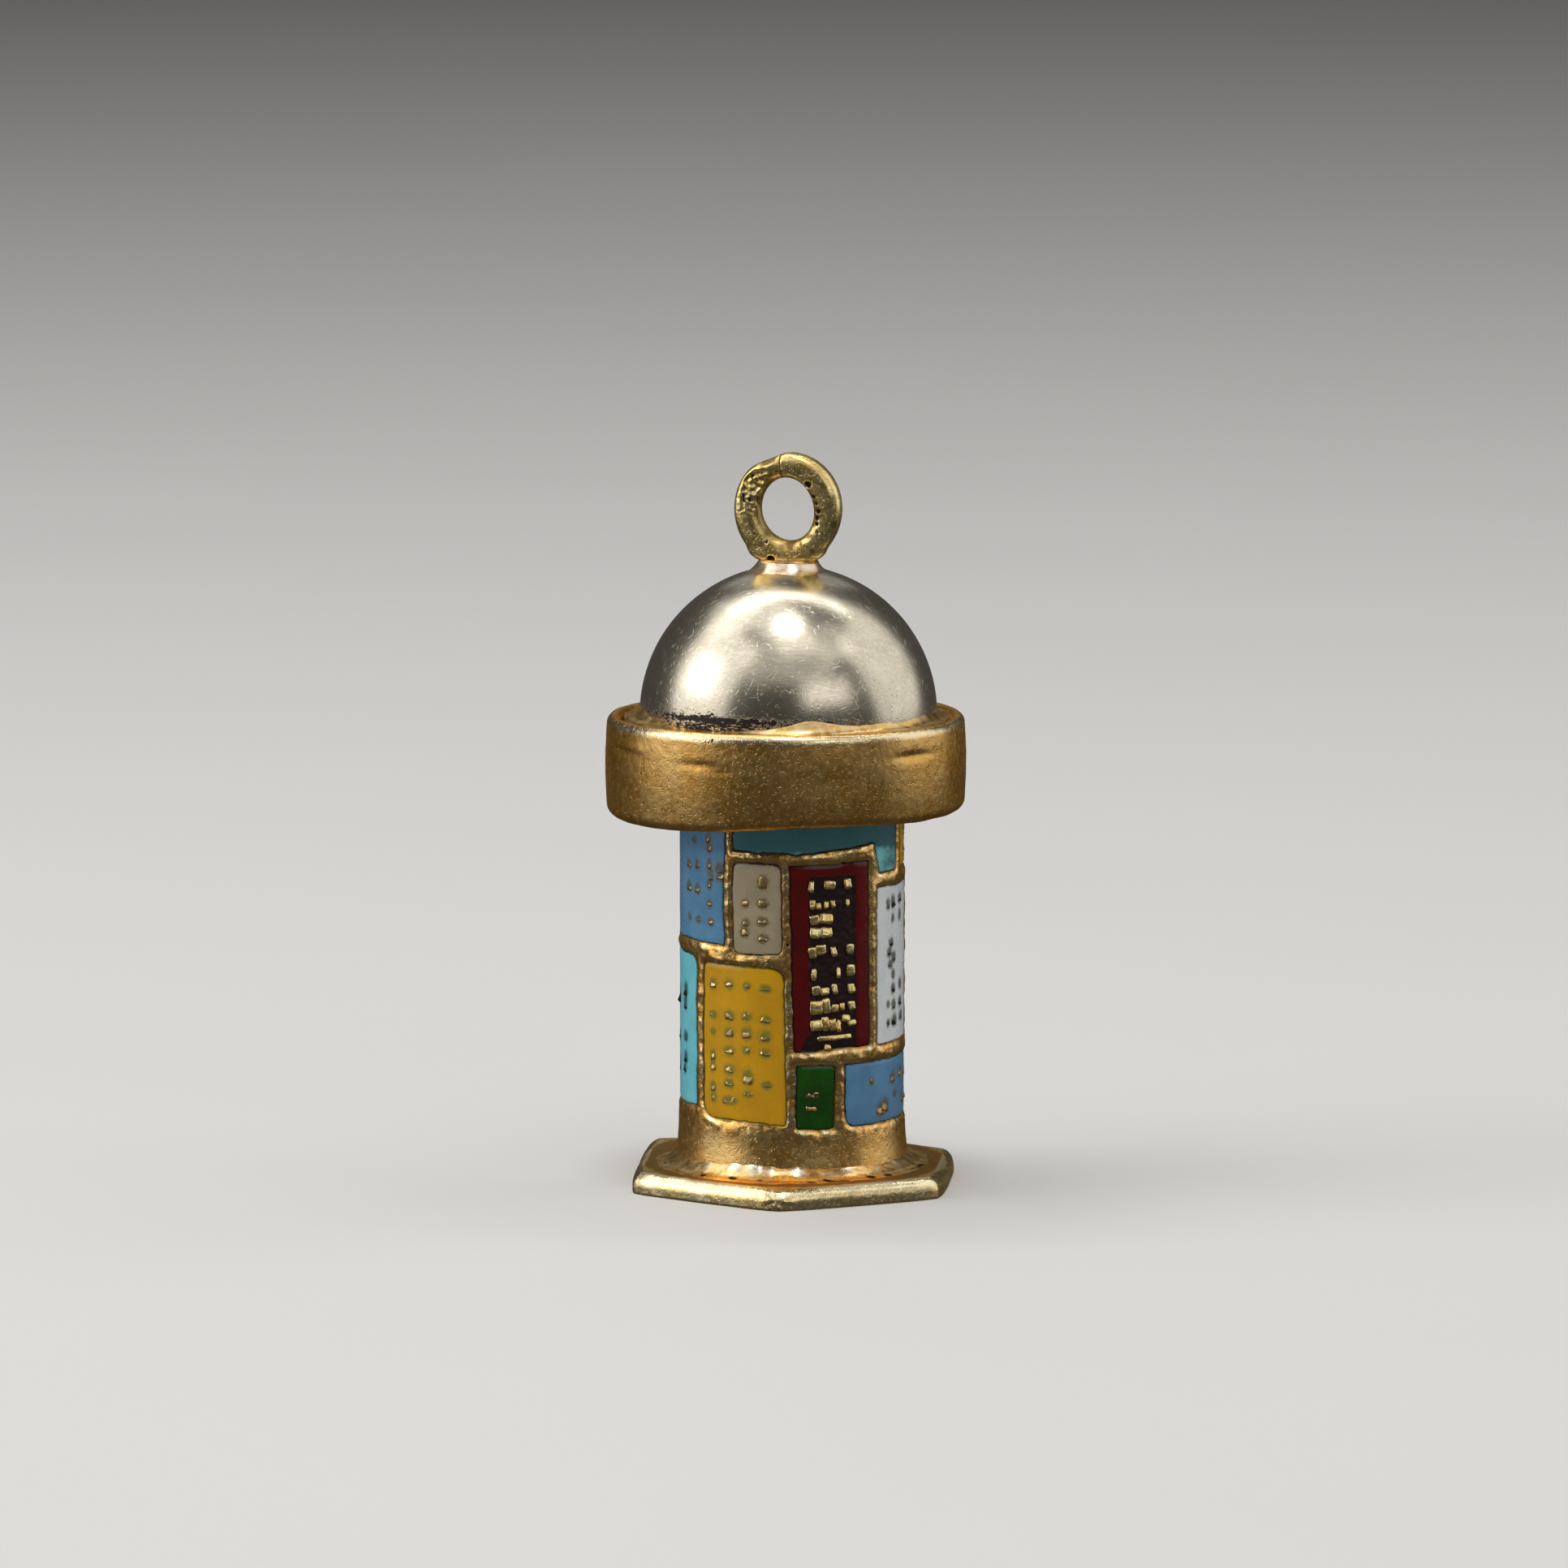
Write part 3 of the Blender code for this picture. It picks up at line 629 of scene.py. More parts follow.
def relief_tree():
    """Stands a small hand-cut block on each point, as big as the point's size says, with
    its back to the column's axis."""
    build, given = geometry_tree("relief marks", {"Axis X": 0.0, "Roughness": 0.022, "Grain": 0.12})
    cube = build.node("GeometryNodeMeshCube", None, {"Size": (1, 1, 1)})
    values = {"Mesh": cube, "Level": 2, "Edge Crease": 0.7}
    block = build.node("GeometryNodeSubdivisionSurface", None, values)
    place = build.node("GeometryNodeInputPosition")
    centre = build.node("ShaderNodeCombineXYZ", None, {"X": given["Axis X"]})
    level = build.vector("MULTIPLY", build.vector("SUBTRACT", place, centre), (1, 1, 0))
    axes = {"primary_axis": "Z", "secondary_axis": "Y"}
    turned = build.node("FunctionNodeAxesToRotation", axes, {0: level, 1: (0, 0, 1)})
    for axis, least, most, seed in (((0, 0, 1), -0.16, 0.16, 5), ((1, 0, 0), -0.40, -0.04, 6)):
        limits = {2: least, 3: most, "Seed": seed}
        angle = build.node("FunctionNodeRandomValue", {"data_type": "FLOAT"}, limits, 1)
        lean = build.node("FunctionNodeAxisAngleToRotation", None, {"Axis": axis, "Angle": angle})
        local = {"rotation_space": "LOCAL"}
        turned = build.node("FunctionNodeRotateRotation", local, {0: turned, 1: lean})
    size = build.node("GeometryNodeInputNamedAttribute", {"data_type": "FLOAT_VECTOR"}, {"Name": "size"})
    values = {"Points": given["Geometry"], "Instance": block, "Rotation": turned, "Scale": size}
    blocks = build.node("GeometryNodeInstanceOnPoints", None, values)
    real = build.node("GeometryNodeRealizeInstances", None, {0: blocks})
    grain = build.grain(place, given["Grain"], roughness=0.5, output=1)
    centred = build.vector("SUBTRACT", grain, (0.5, 0.5, 0.5))
    shift = build.vector("SCALE", centred, given["Roughness"] * 4.0)
    return end_tree(build, build.moved(real, shift), given["Material"])


def linked(name, data):
    """A new object in the scene."""
    obj = bpy.data.objects.new(name, data)
    bpy.context.scene.collection.objects.link(obj)
    return obj


def put_through(tree, mesh, material, settings, keep=None):
    """The mesh after a geometry tree, and thinned to a share of its faces, as plain mesh."""
    obj = linked("work", mesh)
    modifier = obj.modifiers.new("tree", "NODES")
    modifier.node_group = tree
    for item in tree.interface.items_tree:
        if item.item_type == "SOCKET" and item.in_out == "INPUT":
            if item.name in settings:
                modifier[item.identifier] = settings[item.name]
            elif item.name == "Material":
                modifier[item.identifier] = material
    if keep:
        obj.modifiers.new("thin", "DECIMATE").ratio = keep
    bpy.context.view_layer.update()
    graph = bpy.context.evaluated_depsgraph_get()
    made = bpy.data.meshes.new_from_object(obj.evaluated_get(graph))
    bpy.data.objects.remove(obj)
    return made


# ---------------------------------------------------------------------------
# Finished pieces


def finished(name, mesh, material, nodes):
    """Brings a mesh down to metres and puts the piece in the charm."""
    mesh.transform(Matrix.Scale(MM, 4))
    mesh.name = name
    mesh.shade_smooth()
    mesh.materials.clear()
    mesh.materials.append(material)
    piece = linked(name, mesh)
    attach(piece, "root")
    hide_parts(*nodes)
    return piece


class Charm:
    """What the pieces share: the CAD's axes, the trees and the finishes."""

    def __init__(self):
        self.column = Axis("column_tube")
        self.collar = Axis("collar_hoop")
        self.dome = Axis("dome_shell")
        self.wear = worn_metal_tree()
        self.metal = {name: satin_gold(name, *look) for name, look in GOLDS.items()}
        self.metal |= {name: bright_solder(name, *look) for name, look in SOLDERS.items()}
        self.silver = dome_silver("dome silver")
        self.enamels = {
            key: vitreous(f"{key} enamel", *colours) for key, colours in ENAMEL_COLOURS.items()
        }

    def worn(self, name, node, metal, points, keep=None, **attributes):
        """A woven piece of gold or solder, with its wear."""
        material = self.metal[metal]
        sizes = dict(zip(WEAR_SIZES, WEAR[name]))
        mesh = put_through(self.wear, woven(points, **attributes), material, sizes, keep)
        finished(name, mesh, material, [node])


# -- posters


def poster_outline(name, corners, rounding, radius):
    """The poster's outline unrolled, as (distance round, height), hand-cut: each corner is
    rounded by its own size and the sides wander a little."""
    if len(corners) == 2:
        (left, low), (right, high) = corners
        corners = ((left, low), (right, low), (right, high), (left, high))
    if not isinstance(rounding, tuple):
        rounding = (rounding,) * len(corners)
    flat = np.array([(math.radians(b) * radius, h) for b, h in corners])
    outline = []
    for i, corner in enumerate(flat):
        before = flat[i - 1] - corner
        after = flat[(i + 1) % len(flat)] - corner
        start = corner + before / np.linalg.norm(before) * rounding[i]
        end = corner + after / np.linalg.norm(after) * rounding[i]
        for t in np.linspace(0, 1, 6):
            outline.append((1 - t) ** 2 * start + 2 * t * (1 - t) * corner + t**2 * end)
    dense = densified(np.array(outline), 0.05)
    deep = np.column_stack((dense, np.full(len(dense), len(name) * 3.7)))
    for size, depth in ((0.9, 0.05), (0.22, 0.022)):
        dense[:, 0] += depth * lumps(deep, size)
        dense[:, 1] += depth * lumps(deep, size, seed=31.7)
    dense[:, 1] = np.minimum(dense[:, 1], CELL_HEAD)
    return dense


def signed_distance(points, outline):
    """Distance from each flat point to a closed outline, negative inside it."""
    ends = np.roll(outline, -1, axis=0)
    side = ends - outline
    offset = points[:, None, :] - outline
    share = np.clip((offset * side).sum(-1) / (side * side).sum(-1), 0.0, 1.0)
    gap = offset - side * share[..., None]
    distance = np.sqrt((gap * gap).sum(-1).min(axis=1))
    spans = (outline[:, 1] <= points[:, 1:]) != (ends[:, 1] <= points[:, 1:])
    rise = np.where(side[:, 1] == 0, 1e-9, side[:, 1])
    crossing = outline[:, 0] + side[:, 0] * (points[:, 1:] - outline[:, 1]) / rise
    inside = (spans & (points[:, :1] < crossing)).sum(axis=1) % 2 == 1
    return np.where(inside, -distance, distance)


def column_skin(charm, outlines):
    """The column's metal: walls between the posters, cells under them and a satin band
    that flares at the foot, with painted shade under the collar and rubbed wall edges
    that carry a painted highlight."""
    axis = charm.column
    cell_depth = 0.28
    slope = 0.09  # mm that a wall takes to fall to its cell
    seam = -105.3  # bearing of the mesh's first column, where no poster lies
    turns = bearings(544, seam)
    heights = np.concatenate(
        (
            np.arange(axis.low, 1.95, 0.09),
            np.arange(1.95, CELL_HEAD + 0.1, 0.038),
            np.arange(CELL_HEAD + 0.15, axis.high, 0.25),
            [axis.high],
        )
    )
    bearing, height = np.meshgrid(turns, heights)
    nearest = np.full(bearing.shape, 9.0)
    for outline in outlines.values():
        low, high = outline.min(axis=0) - 0.4, outline.max(axis=0) + 0.4
        centre = math.degrees((low[0] + high[0]) / 2 / axis.radius)
        along = np.radians(off_bearing(bearing, centre) + centre) * axis.radius
        close = (along > low[0]) & (along < high[0]) & (height > low[1]) & (height < high[1])
        flat = np.column_stack((along[close], height[close]))
        nearest[close] = np.minimum(nearest[close], signed_distance(flat, outline))
    fall = 1.0 - soft_step(nearest, -slope, 0.0)
    radius = axis.radius - cell_depth * fall
    surface = around(axis.x, axis.radius, bearing, height)
    rough = lumps(surface, 0.16) * 0.7 + lumps(surface, 0.42, 7.3)
    on_wall = soft_step(nearest, -0.05, 0.02) * soft_step(0.45 - nearest, 0.0, 0.3)
    radius += on_wall * (rough * 0.024 - 0.002 - 0.040 * bell(nearest, 0.075))
    radius += 0.09 * bell(height - axis.low, 0.70)
    soil = 0.75 * bell(nearest + 0.01, 0.05) + 0.25 * on_wall * soft_step(-rough, 0.0, 0.8)
    # Painted shade: darker from about 10.6 mm up, under the collar.
    soil += 0.5 * soft_step(height, 10.6, 11.3)
    soil += 0.8 * bell(height - 1.02, 0.05) * soft_step(lumps(surface, 0.5, 3.1), 0.1, 0.4)

    bore = axis.radius - 0.57
    inside = around(axis.x, bore, turns, np.array([[axis.high], [axis.low]]))
    points = np.concatenate((around(axis.x, radius, bearing, height), inside))
    # Rubbed wall edges with a painted highlight: bright broken glints just off each poster's outline.
    polish = 0.9 * on_wall * bell(nearest - 0.05, 0.05) * soft_step(rough, -0.3, 0.5)
    unseen = np.zeros((2, len(turns)))
    looks = {
        "soil": np.concatenate((soil, unseen)),
        "polish": np.concatenate((polish, unseen)),
    }
    charm.worn("column_skin", "column_tube", "poster wall gold", points, keep=0.5, **looks)


def mark_points():
    """The bearing, height, width and tallness of every mark in mm, by poster. The
    posters at the back have marks in rows and columns, with some left out."""
    marks = {
        name: [(bearing, *(size / 100 for size in sizes)) for bearing, *sizes in rows]
        for name, rows in MARKS.items()
    }
    chance = np.random.default_rng(11)
    for name, _, corners, _ in POSTERS:
        if name in marks or name == "teal_band":
            continue
        (left, low), (right, high) = corners
        rows = []
        for height in np.arange(low + 0.5, min(high, 10.9) - 0.3, REAR_MARK_RISE):
            for bearing in np.arange(left + 7.5, right - 5.0, REAR_MARK_STEP):
                if chance.random() < 0.82:
                    size = chance.uniform((0.14, 0.14), (0.30, 0.28))
                    rows.append((bearing, height + chance.uniform(-0.04, 0.04), *size))
        marks[name] = rows
    return marks


def relief_marks(charm, marks):
    """The posters' marks: small blocks of the column's own metal, cut proud of the
    enamel round them."""
    axis = charm.column
    depth = 0.2
    stand = {"red": -0.015, "white": -0.040, "turquoise": -0.045, "yellow": -0.030, "grey": -0.020}
    places, sizes, soils, pits = [], [], [], []
    for name, rows in marks.items():
        family = name.split("_")[0]
        for bearing, height, width, tallness in rows:
            radius = axis.radius + stand.get(family, -0.03) - depth / 2
            places.append(around(axis.x, radius, bearing, height))
            sizes.append((width * 1.12, tallness * 1.12, depth))
            soils.append({"yellow": 0.62, "grey": 0.65, "blue": 0.75}.get(family, 0.0))
            pits.append(0.75 if family in ("white", "turquoise") else 0.0)
    mesh = bpy.data.meshes.new("marks")
    mesh.from_pydata([tuple(p) for p in places], [], [])
    size = mesh.attributes.new("size", "FLOAT_VECTOR", "POINT")
    size.data.foreach_set("vector", np.array(sizes, np.float32).ravel())
    add_attribute(mesh, "soil", soils)
    add_attribute(mesh, "pits", pits)
    gold = charm.metal["mark gold"]
    mesh = put_through(relief_tree(), mesh, gold, {"Axis X": axis.x})
    finished("relief_marks", mesh, gold, ["column_tube"])


def enamel_fill(charm, name, colour, outline, marks):
    """One poster's enamel: a sheet that dips at its rim, undulates a little and sinks
    where it is worn, with a flat back on the cell's floor."""
    axis = charm.column
    spacing = 0.055
    face_radius = axis.radius - 0.035
    low, high = outline.min(axis=0), outline.max(axis=0)
    across = np.arange(low[0], high[0], spacing)
    up = np.arange(low[1], high[1], spacing * 0.87)
    grid_x, grid_z = np.meshgrid(across, up)
    grid_x[1::2] += spacing / 2
    lattice = np.column_stack((grid_x.ravel(), grid_z.ravel()))
    lattice = lattice[signed_distance(lattice, outline) < -0.6 * spacing]
    flat = [Vector(p) for p in np.concatenate((outline, lattice)).tolist()]
    made = delaunay_2d_cdt(flat, [], [list(range(len(outline)))], 1, 1e-6, False)
    places = np.array([tuple(v) for v in made[0]])

    distance = signed_distance(places, outline)
    bearing = np.degrees(places[:, 0] / axis.radius)
    surface = around(axis.x, face_radius, bearing, places[:, 1])
    edge = soft_step(distance, -0.13, -0.01)
    near = np.zeros(len(places))
    for mark_bearing, mark_height, width, tallness in marks:
        away_x = (places[:, 0] - math.radians(mark_bearing) * axis.radius) / (width / 2 + 0.07)
        away_z = (places[:, 1] - mark_height) / (tallness / 2 + 0.07)
        near = np.maximum(near, bell(np.sqrt(away_x**2 + away_z**2), 1.15))
    block = np.zeros(len(places))
    if name == "red":
        hole = np.array([(math.radians(b) * axis.radius, h) for b, h in DARK_BLOCK])
        wander = 0.03 * lumps(surface, 0.2)
        block = soft_step(signed_distance(places, densified(hole, 0.1)) + wander, 0.03, -0.03)
    radius = face_radius + 0.010 * lumps(surface, 0.8) + 0.003 * lumps(surface, 0.2)
    radius += -0.035 * edge + 0.006 * near - block * (0.06 + 0.025 * lumps(surface, 0.14))

    bm = bmesh.new()
    # Painted shade under the collar: rises from 9.95 to 10.35 mm.
    deep = soft_step(places[:, 1], 9.95, 10.35)
    keys = ("edge", "near_mark", "block", "deep")
    layers = [bm.verts.layers.float.new(key) for key in keys]
    rim = [bm.verts.new(p) for p in around(axis.x, radius, bearing, places[:, 1])]
    for vertex, *values in zip(rim, edge, near, block, deep):
        for layer, value in zip(layers, values):
            vertex[layer] = value
    for face in made[2]:
        bm.faces.new([rim[i] for i in face])
    back = bmesh.ops.extrude_face_region(bm, geom=bm.faces[:])
    back_radius = axis.radius - 0.26
    for item in back["geom"]:
        if isinstance(item, bmesh.types.BMVert):
            here = Vector((item.co.x - axis.x, item.co.y))
            here *= back_radius / here.length
            item.co.x, item.co.y = here.x + axis.x, here.y
    bmesh.ops.recalc_face_normals(bm, faces=bm.faces)
    mesh = bpy.data.meshes.new(name)
    bm.to_mesh(mesh)
    bm.free()
    node = f"enamel_{name}"
    finished(f"{name}_poster", mesh, charm.enamels[colour], [node])


def posters(charm):
    outlines = {
        name: poster_outline(name, corners, rounding, charm.column.radius)
        for name, _, corners, rounding in POSTERS
    }
    marks = mark_points()
    column_skin(charm, outlines)
    relief_marks(charm, marks)
    for name, colour, _, _ in POSTERS:
        enamel_fill(charm, name, colour, outlines[name], marks.get(name, ()))


# -- collar


DENTS = (  # in the hoop: bearing, height, width in degrees, tallness and depth in mm
    (-66, 12.98, 7.0, 0.10, 0.050),
    (-57, 13.10, 8.0, 0.12, -0.020),
    (-27, 12.86, 8.0, 0.10, 0.030),
    (-20, 12.70, 5.0, 0.07, 0.026),
    (45, 13.02, 8.0, 0.11, 0.050),
    (-72, 12.30, 6.0, 0.30, 0.022),
    (14, 12.40, 12.0, 0.40, 0.018),
    (120, 12.70, 8.0, 0.12, 0.040),
    (205, 12.20, 10.0, 0.20, 0.030),
    (262, 12.90, 7.0, 0.10, 0.040),
)


def hoop(charm):
    """The collar's hoop: filed by hand along its lower edge, dented and barrelled."""
    axis = charm.collar
    wall = 0.42
    roundings = (0.24, 0.20, 0.17, 0.06)
    outline = section(axis.radius - wall, axis.radius, axis.low, axis.high, roundings, 0.07)
    radius, height = outline[:, :1], outline[:, 1:]
    turns = bearings(480)[None, :]
    surface = around(axis.x, radius, turns, height)
    share = (height - axis.low) / (axis.high - axis.low)
    lower = -0.10 * np.cos(np.radians(turns + 75)) + 0.15 * beside(turns, 6, 26)
    lower = lower + 0.05 * beside(turns, 32, 14) - 0.04 + 0.03 * lumps(surface, 1.1)
    rim = 0.03 * lumps(surface, 1.5, 4.0) + 0.02 * np.cos(np.radians(turns * 2 + 40))
    height = height + (1 - share) * lower + share * rim
    outer = soft_step(radius, axis.radius - wall * 0.6, axis.radius - 0.05)
    shape = 0.06 * np.sin(np.pi * np.clip(share, 0, 1)) - 0.045
    for bearing, level, width, tallness, depth in DENTS:
        shape = shape - depth * beside(turns, bearing, width) * bell(height - level, tallness)
    points = around(axis.x, radius + outer * shape, turns, height)
    inside = soft_step(axis.radius - 0.30 - radius, 0.0, 0.1)
    # Darker down the inside of the hoop, below its top.
    soil = 0.7 * inside * soft_step(height - axis.high, -0.05, -0.25)
    # Painted highlight with rubbing: the bright top outer edge of the hoop.
    polish = soft_step(radius, axis.radius - 0.30, axis.radius - 0.12)
    polish = polish * bell(height - axis.high + 0.12, 0.13)
    charm.worn("hoop", "collar_hoop", "collar satin gold", points, soil=soil, polish=polish)


def disc(charm):
    """The washer inside the hoop, seen from below between the hoop and the column."""
    axis = Axis("collar_disc")
    hole = 1.0
    outline = section(hole, axis.radius - 0.01, axis.low, axis.high, (0.05,) * 4, 0.12)
    points = around(axis.x, outline[:, :1], bearings(240)[None, :], outline[:, 1:])
    # The whole washer is darkened evenly.
    charm.worn("collar_floor", "collar_disc", "collar satin gold", points, soil=0.45)


# -- dome


def dome(charm):
    """The pressed half-ball with its short skirt, hollow inside."""
    axis = charm.dome
    radius = axis.radius
    centre = axis.high - radius
    wall = 0.38
    tilt = np.radians(np.linspace(90, 0, 96))
    outer = np.column_stack((radius * np.cos(tilt), centre + radius * np.sin(tilt)))
    skirt = np.array(((radius, axis.low + 0.02), (radius - 0.02, axis.low)))
    tilt = np.radians(np.linspace(0, 90, 30))
    bore = radius - wall
    inner = np.column_stack((bore * np.cos(tilt), centre + bore * np.sin(tilt)))
    heel = np.array(((bore, axis.low),))
    outline = np.concatenate((outer, skirt, heel, inner))[::-1]
    turns = bearings(360)[None, :]
    surface = around(axis.x, outline[:, :1], turns, outline[:, 1:])
    dent = 0.010 * lumps(surface, 2.2) + 0.0035 * lumps(surface, 0.9, 5.0)
    share = outline[:, :1] / radius
    height = outline[:, 1:] + dent * (1 - share)
    points = around(axis.x, outline[:, :1] + dent * share, turns, height)
    up = surface[..., 2] - centre
    low = soft_step(up, 0.80, 0.15)
    left = beside(turns, -30, 36)
    soil = low * np.clip(0.14 + 0.58 * left + 0.20 * beside(turns, 16, 9), 0, 1)
    soil = soil + 0.45 * bell(up - 0.30, 0.07) * (0.3 + 0.7 * left)
    stain = 0.8 * soft_step(outline[:, :1], 1.9, 0.9)
    stain = stain + 0.5 * bell(up - 0.30, 0.12) * beside(turns, 20, 30)
    mesh = woven(points, closed_rows=False, soil=soil, stain=stain)
    finished("dome", mesh, charm.silver, ["dome_shell"])


def groove_solder(charm):
    """The solder between the dome and the hoop: a lumpy ledge that climbs the dome in
    places, most of all at the front."""
    axis = Axis("dome_solder")
    dome_radius = charm.dome.radius
    outer = axis.radius + 0.06
    rim = charm.collar.high
    turns = bearings(420)[None, :]
    steps = np.linspace(0, 1, 26)[:, None]
    ring = around(axis.x, dome_radius, turns, rim)
    ragged = lumps(ring, 1.1) + 0.3 * lumps(ring, 0.4, 9.0)
    climb = 0.13 + 0.04 * ragged + 0.24 * beside(turns, 8, 14)
    climb = climb + 0.06 * beside(turns, 60, 40) + 0.20 * beside(turns, -80, 9)
    climb = climb - 0.13 * beside(turns, -36, 26)
    ledge = rim - 0.06 + 0.02 * ragged
    inner = dome_radius - 0.03
    radius = inner + (outer - inner) * steps
    height = ledge + (climb + 0.05) * np.exp(-((steps / 0.30) ** 1.5))
    height = height - 0.05 * bell(steps - 0.93, 0.06)
    height = height + 0.02 * lumps(around(axis.x, radius, turns, height), 0.45, 2.0) * (1 - steps)
    top = around(axis.x, radius, turns, height)[::-1]
    bottom = around(axis.x, np.array([[inner], [outer]]), turns, axis.low)
    points = np.concatenate((bottom[1:], top, bottom[:1]))
    crack = np.concatenate((np.zeros((1, 1)), steps[::-1], np.zeros((1, 1))))
    # Darker along the groove where the solder meets the hoop.
    soil = 0.6 * bell(crack - 0.95, 0.035)
    soil = soil + 1.2 * bell(crack, 0.14) * beside(turns, -36, 26)
    soil = soil + 0.3 * soft_step(lumps(points, 0.45, 6.0), 0.15, 0.5)
    charm.worn("groove_solder", "dome_solder", "gold solder", points, soil=soil)


# -- eyelet


EYELET_HOLES = (  # clock bearing, place across the wire, radius and depth in mm
    (46, -0.60, 0.135, 0.10),
    (24, -0.72, 0.080, 0.06),
    (12, -0.66, 0.060, 0.05),
    (0, -0.52, 0.080, 0.07),
    (350, -0.62, 0.090, 0.07),
    (341, -0.48, 0.070, 0.06),
    (331, -0.15, 0.050, 0.04),
    (255, 0.48, 0.130, 0.09),
    (238, -0.45, 0.050, 0.05),
    (222, -0.20, 0.030, 0.03),
)


def eyelet(charm):
    """The eyelet: a ring of stout wire, worn flat on its shoulder, with the closing seam
    at the top, a torn hollow on the left and casting pits."""
    low, high = (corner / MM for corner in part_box("eyelet_ring"))
    seat_top = Axis("eyelet_seat").high
    wire = 0.385
    middle_x = (low.x + high.x) / 2
    turn = math.atan2(-(high.y - low.y - 2 * wire), high.x - low.x - 2 * wire)
    half_height = 1.29
    centre_z = high.z - half_height - wire
    half_width = math.hypot(high.x - low.x - 2 * wire, high.y - low.y - 2 * wire) / 2
    clock = np.linspace(0, 360, 360, endpoint=False)[None, :]  # from the right, upwards
    girth = np.linspace(0, 360, 60, endpoint=False)[:, None]  # 0 outwards, 90 at the front
    along, across = np.radians(clock), np.radians(girth)

    pinch = 1.0 + 0.02 * np.sin(3 * along + 0.6)
    square = 2.6  # a round wire that was rolled a little flat
    outward = np.sign(np.cos(across)) * np.abs(np.cos(across)) ** (2 / square)
    forward = np.sign(np.sin(across)) * np.abs(np.sin(across)) ** (2 / square)
    reach = wire * (1.0 + 0.05 * np.sin(along * 2 + 0.4)) * pinch
    thickness = wire * 0.98
    spine_x = half_width * np.cos(along)
    spine_z = half_height * np.sin(along)
    ring_x = spine_x + reach * outward * np.cos(along)
    ring_z = spine_z + reach * outward * np.sin(along)

    facing = soft_step(forward, -0.2, 0.7)
    shoulder = beside(clock, 112, 24) ** 2 * soft_step(outward, 0.1, 0.8)
    ring_x = ring_x - 0.10 * shoulder * np.cos(along)
    ring_z = ring_z - 0.10 * shoulder * np.sin(along)
    local = np.stack(np.broadcast_arrays(ring_x, -thickness * forward, ring_z), axis=-1)
    torn = beside(clock, 141, 15) * facing * soft_step(outward, 0.85, 0.2)
    torn = torn * soft_step(outward, -1.0, -0.4)
    rubble = beside(clock, 168, 14) * facing * soft_step(outward, 0.8, 0.2)
    seam = beside(clock, 97, 0.9) * (0.4 + 0.6 * soft_step(forward, 0.0, 0.8))
    hollow = 0.15 * torn * (1 + 0.9 * lumps(local, 0.16)) + 0.05 * seam
    hollow = hollow + 0.13 * rubble * np.abs(lumps(local, 0.17, 3.0))
    # Painted shadow: a dark crescent along the torn hollow's upper edge, added to the pits and dipped a
    # little.
    lip_shadow = bell(outward + 0.1 - 0.024 * off_bearing(clock, 118), 0.17)
    lip_shadow = lip_shadow * beside(clock, 131, 15) * facing
    ragged = lumps(local * (1.0, 1.0, 0.5), 0.12, 1.0)
    pits = 0.8 * torn * soft_step(ragged + 0.4 * torn, 0.42, 0.75) + seam
    pits = pits + 0.9 * lip_shadow * soft_step(ragged, -0.8, -0.1)
    hollow = hollow + 0.05 * lip_shadow
    pits = pits + rubble * soft_step(lumps(local, 0.15, 8.0), 0.18, 0.34)
    for bearing, level, size, depth in EYELET_HOLES:
        where = math.radians(bearing)
        spot_x = (half_width + wire * level) * math.cos(where)
        spot_z = (half_height + wire * level) * math.sin(where)
        spot = np.array((spot_x, -thickness, spot_z))
        gap = np.linalg.norm((local - spot) * (1, 0.4, 1), axis=-1)
        dip = soft_step(gap + 0.02 * lumps(local, 0.08), size, size * 0.55)
        hollow = hollow + depth * dip
        pits = pits + dip
    local[..., 1] += hollow * facing
    local[..., 0] -= 0.3 * hollow * outward * np.cos(along)
    local[..., 2] -= 0.3 * hollow * outward * np.sin(along)

    foot = seat_top + 0.02 - centre_z
    local[..., 2] = np.maximum(local[..., 2], foot - 0.03)
    spread = soft_step(local[..., 2], foot + 0.42, foot)
    local[..., 0] *= 1 + 0.16 * spread
    local[..., 1] *= 1 + 0.10 * spread
    # Painted shade and tarnish on the forward face: an olive mottle and a brown patch low on the right,
    # only where the wire faces forward; the ring's inner side and its flat shoulder are darker too.
    stain = soft_step(lumps(local, 0.45, 12.0), 0.0, 0.45) * beside(clock, 340, 40)
    speckle = soft_step(lumps(local, 0.2, 4.0), -0.1, 0.4)
    stain = stain + 0.7 * beside(clock, 300, 22) * speckle
    olive = 0.20 + 0.55 * lumps(local, 0.3, 15.0)
    soil = (0.9 * stain + olive) * facing + 0.5 * soft_step(outward, -0.3, -0.95)
    soil = soil + shoulder * (0.75 + 0.5 * lumps(local, 0.12, 5.0))
    points = local @ np.array(Matrix.Rotation(turn, 3, "Z")).T
    points += np.array((middle_x, (low.y + high.y) / 2, centre_z))
    mesh = woven(points, soil=soil, pits=np.clip(pits, 0, 1))
    merge_doubles(mesh)
    finished("eyelet", mesh, charm.metal["eyelet gold"], ["eyelet_ring"])


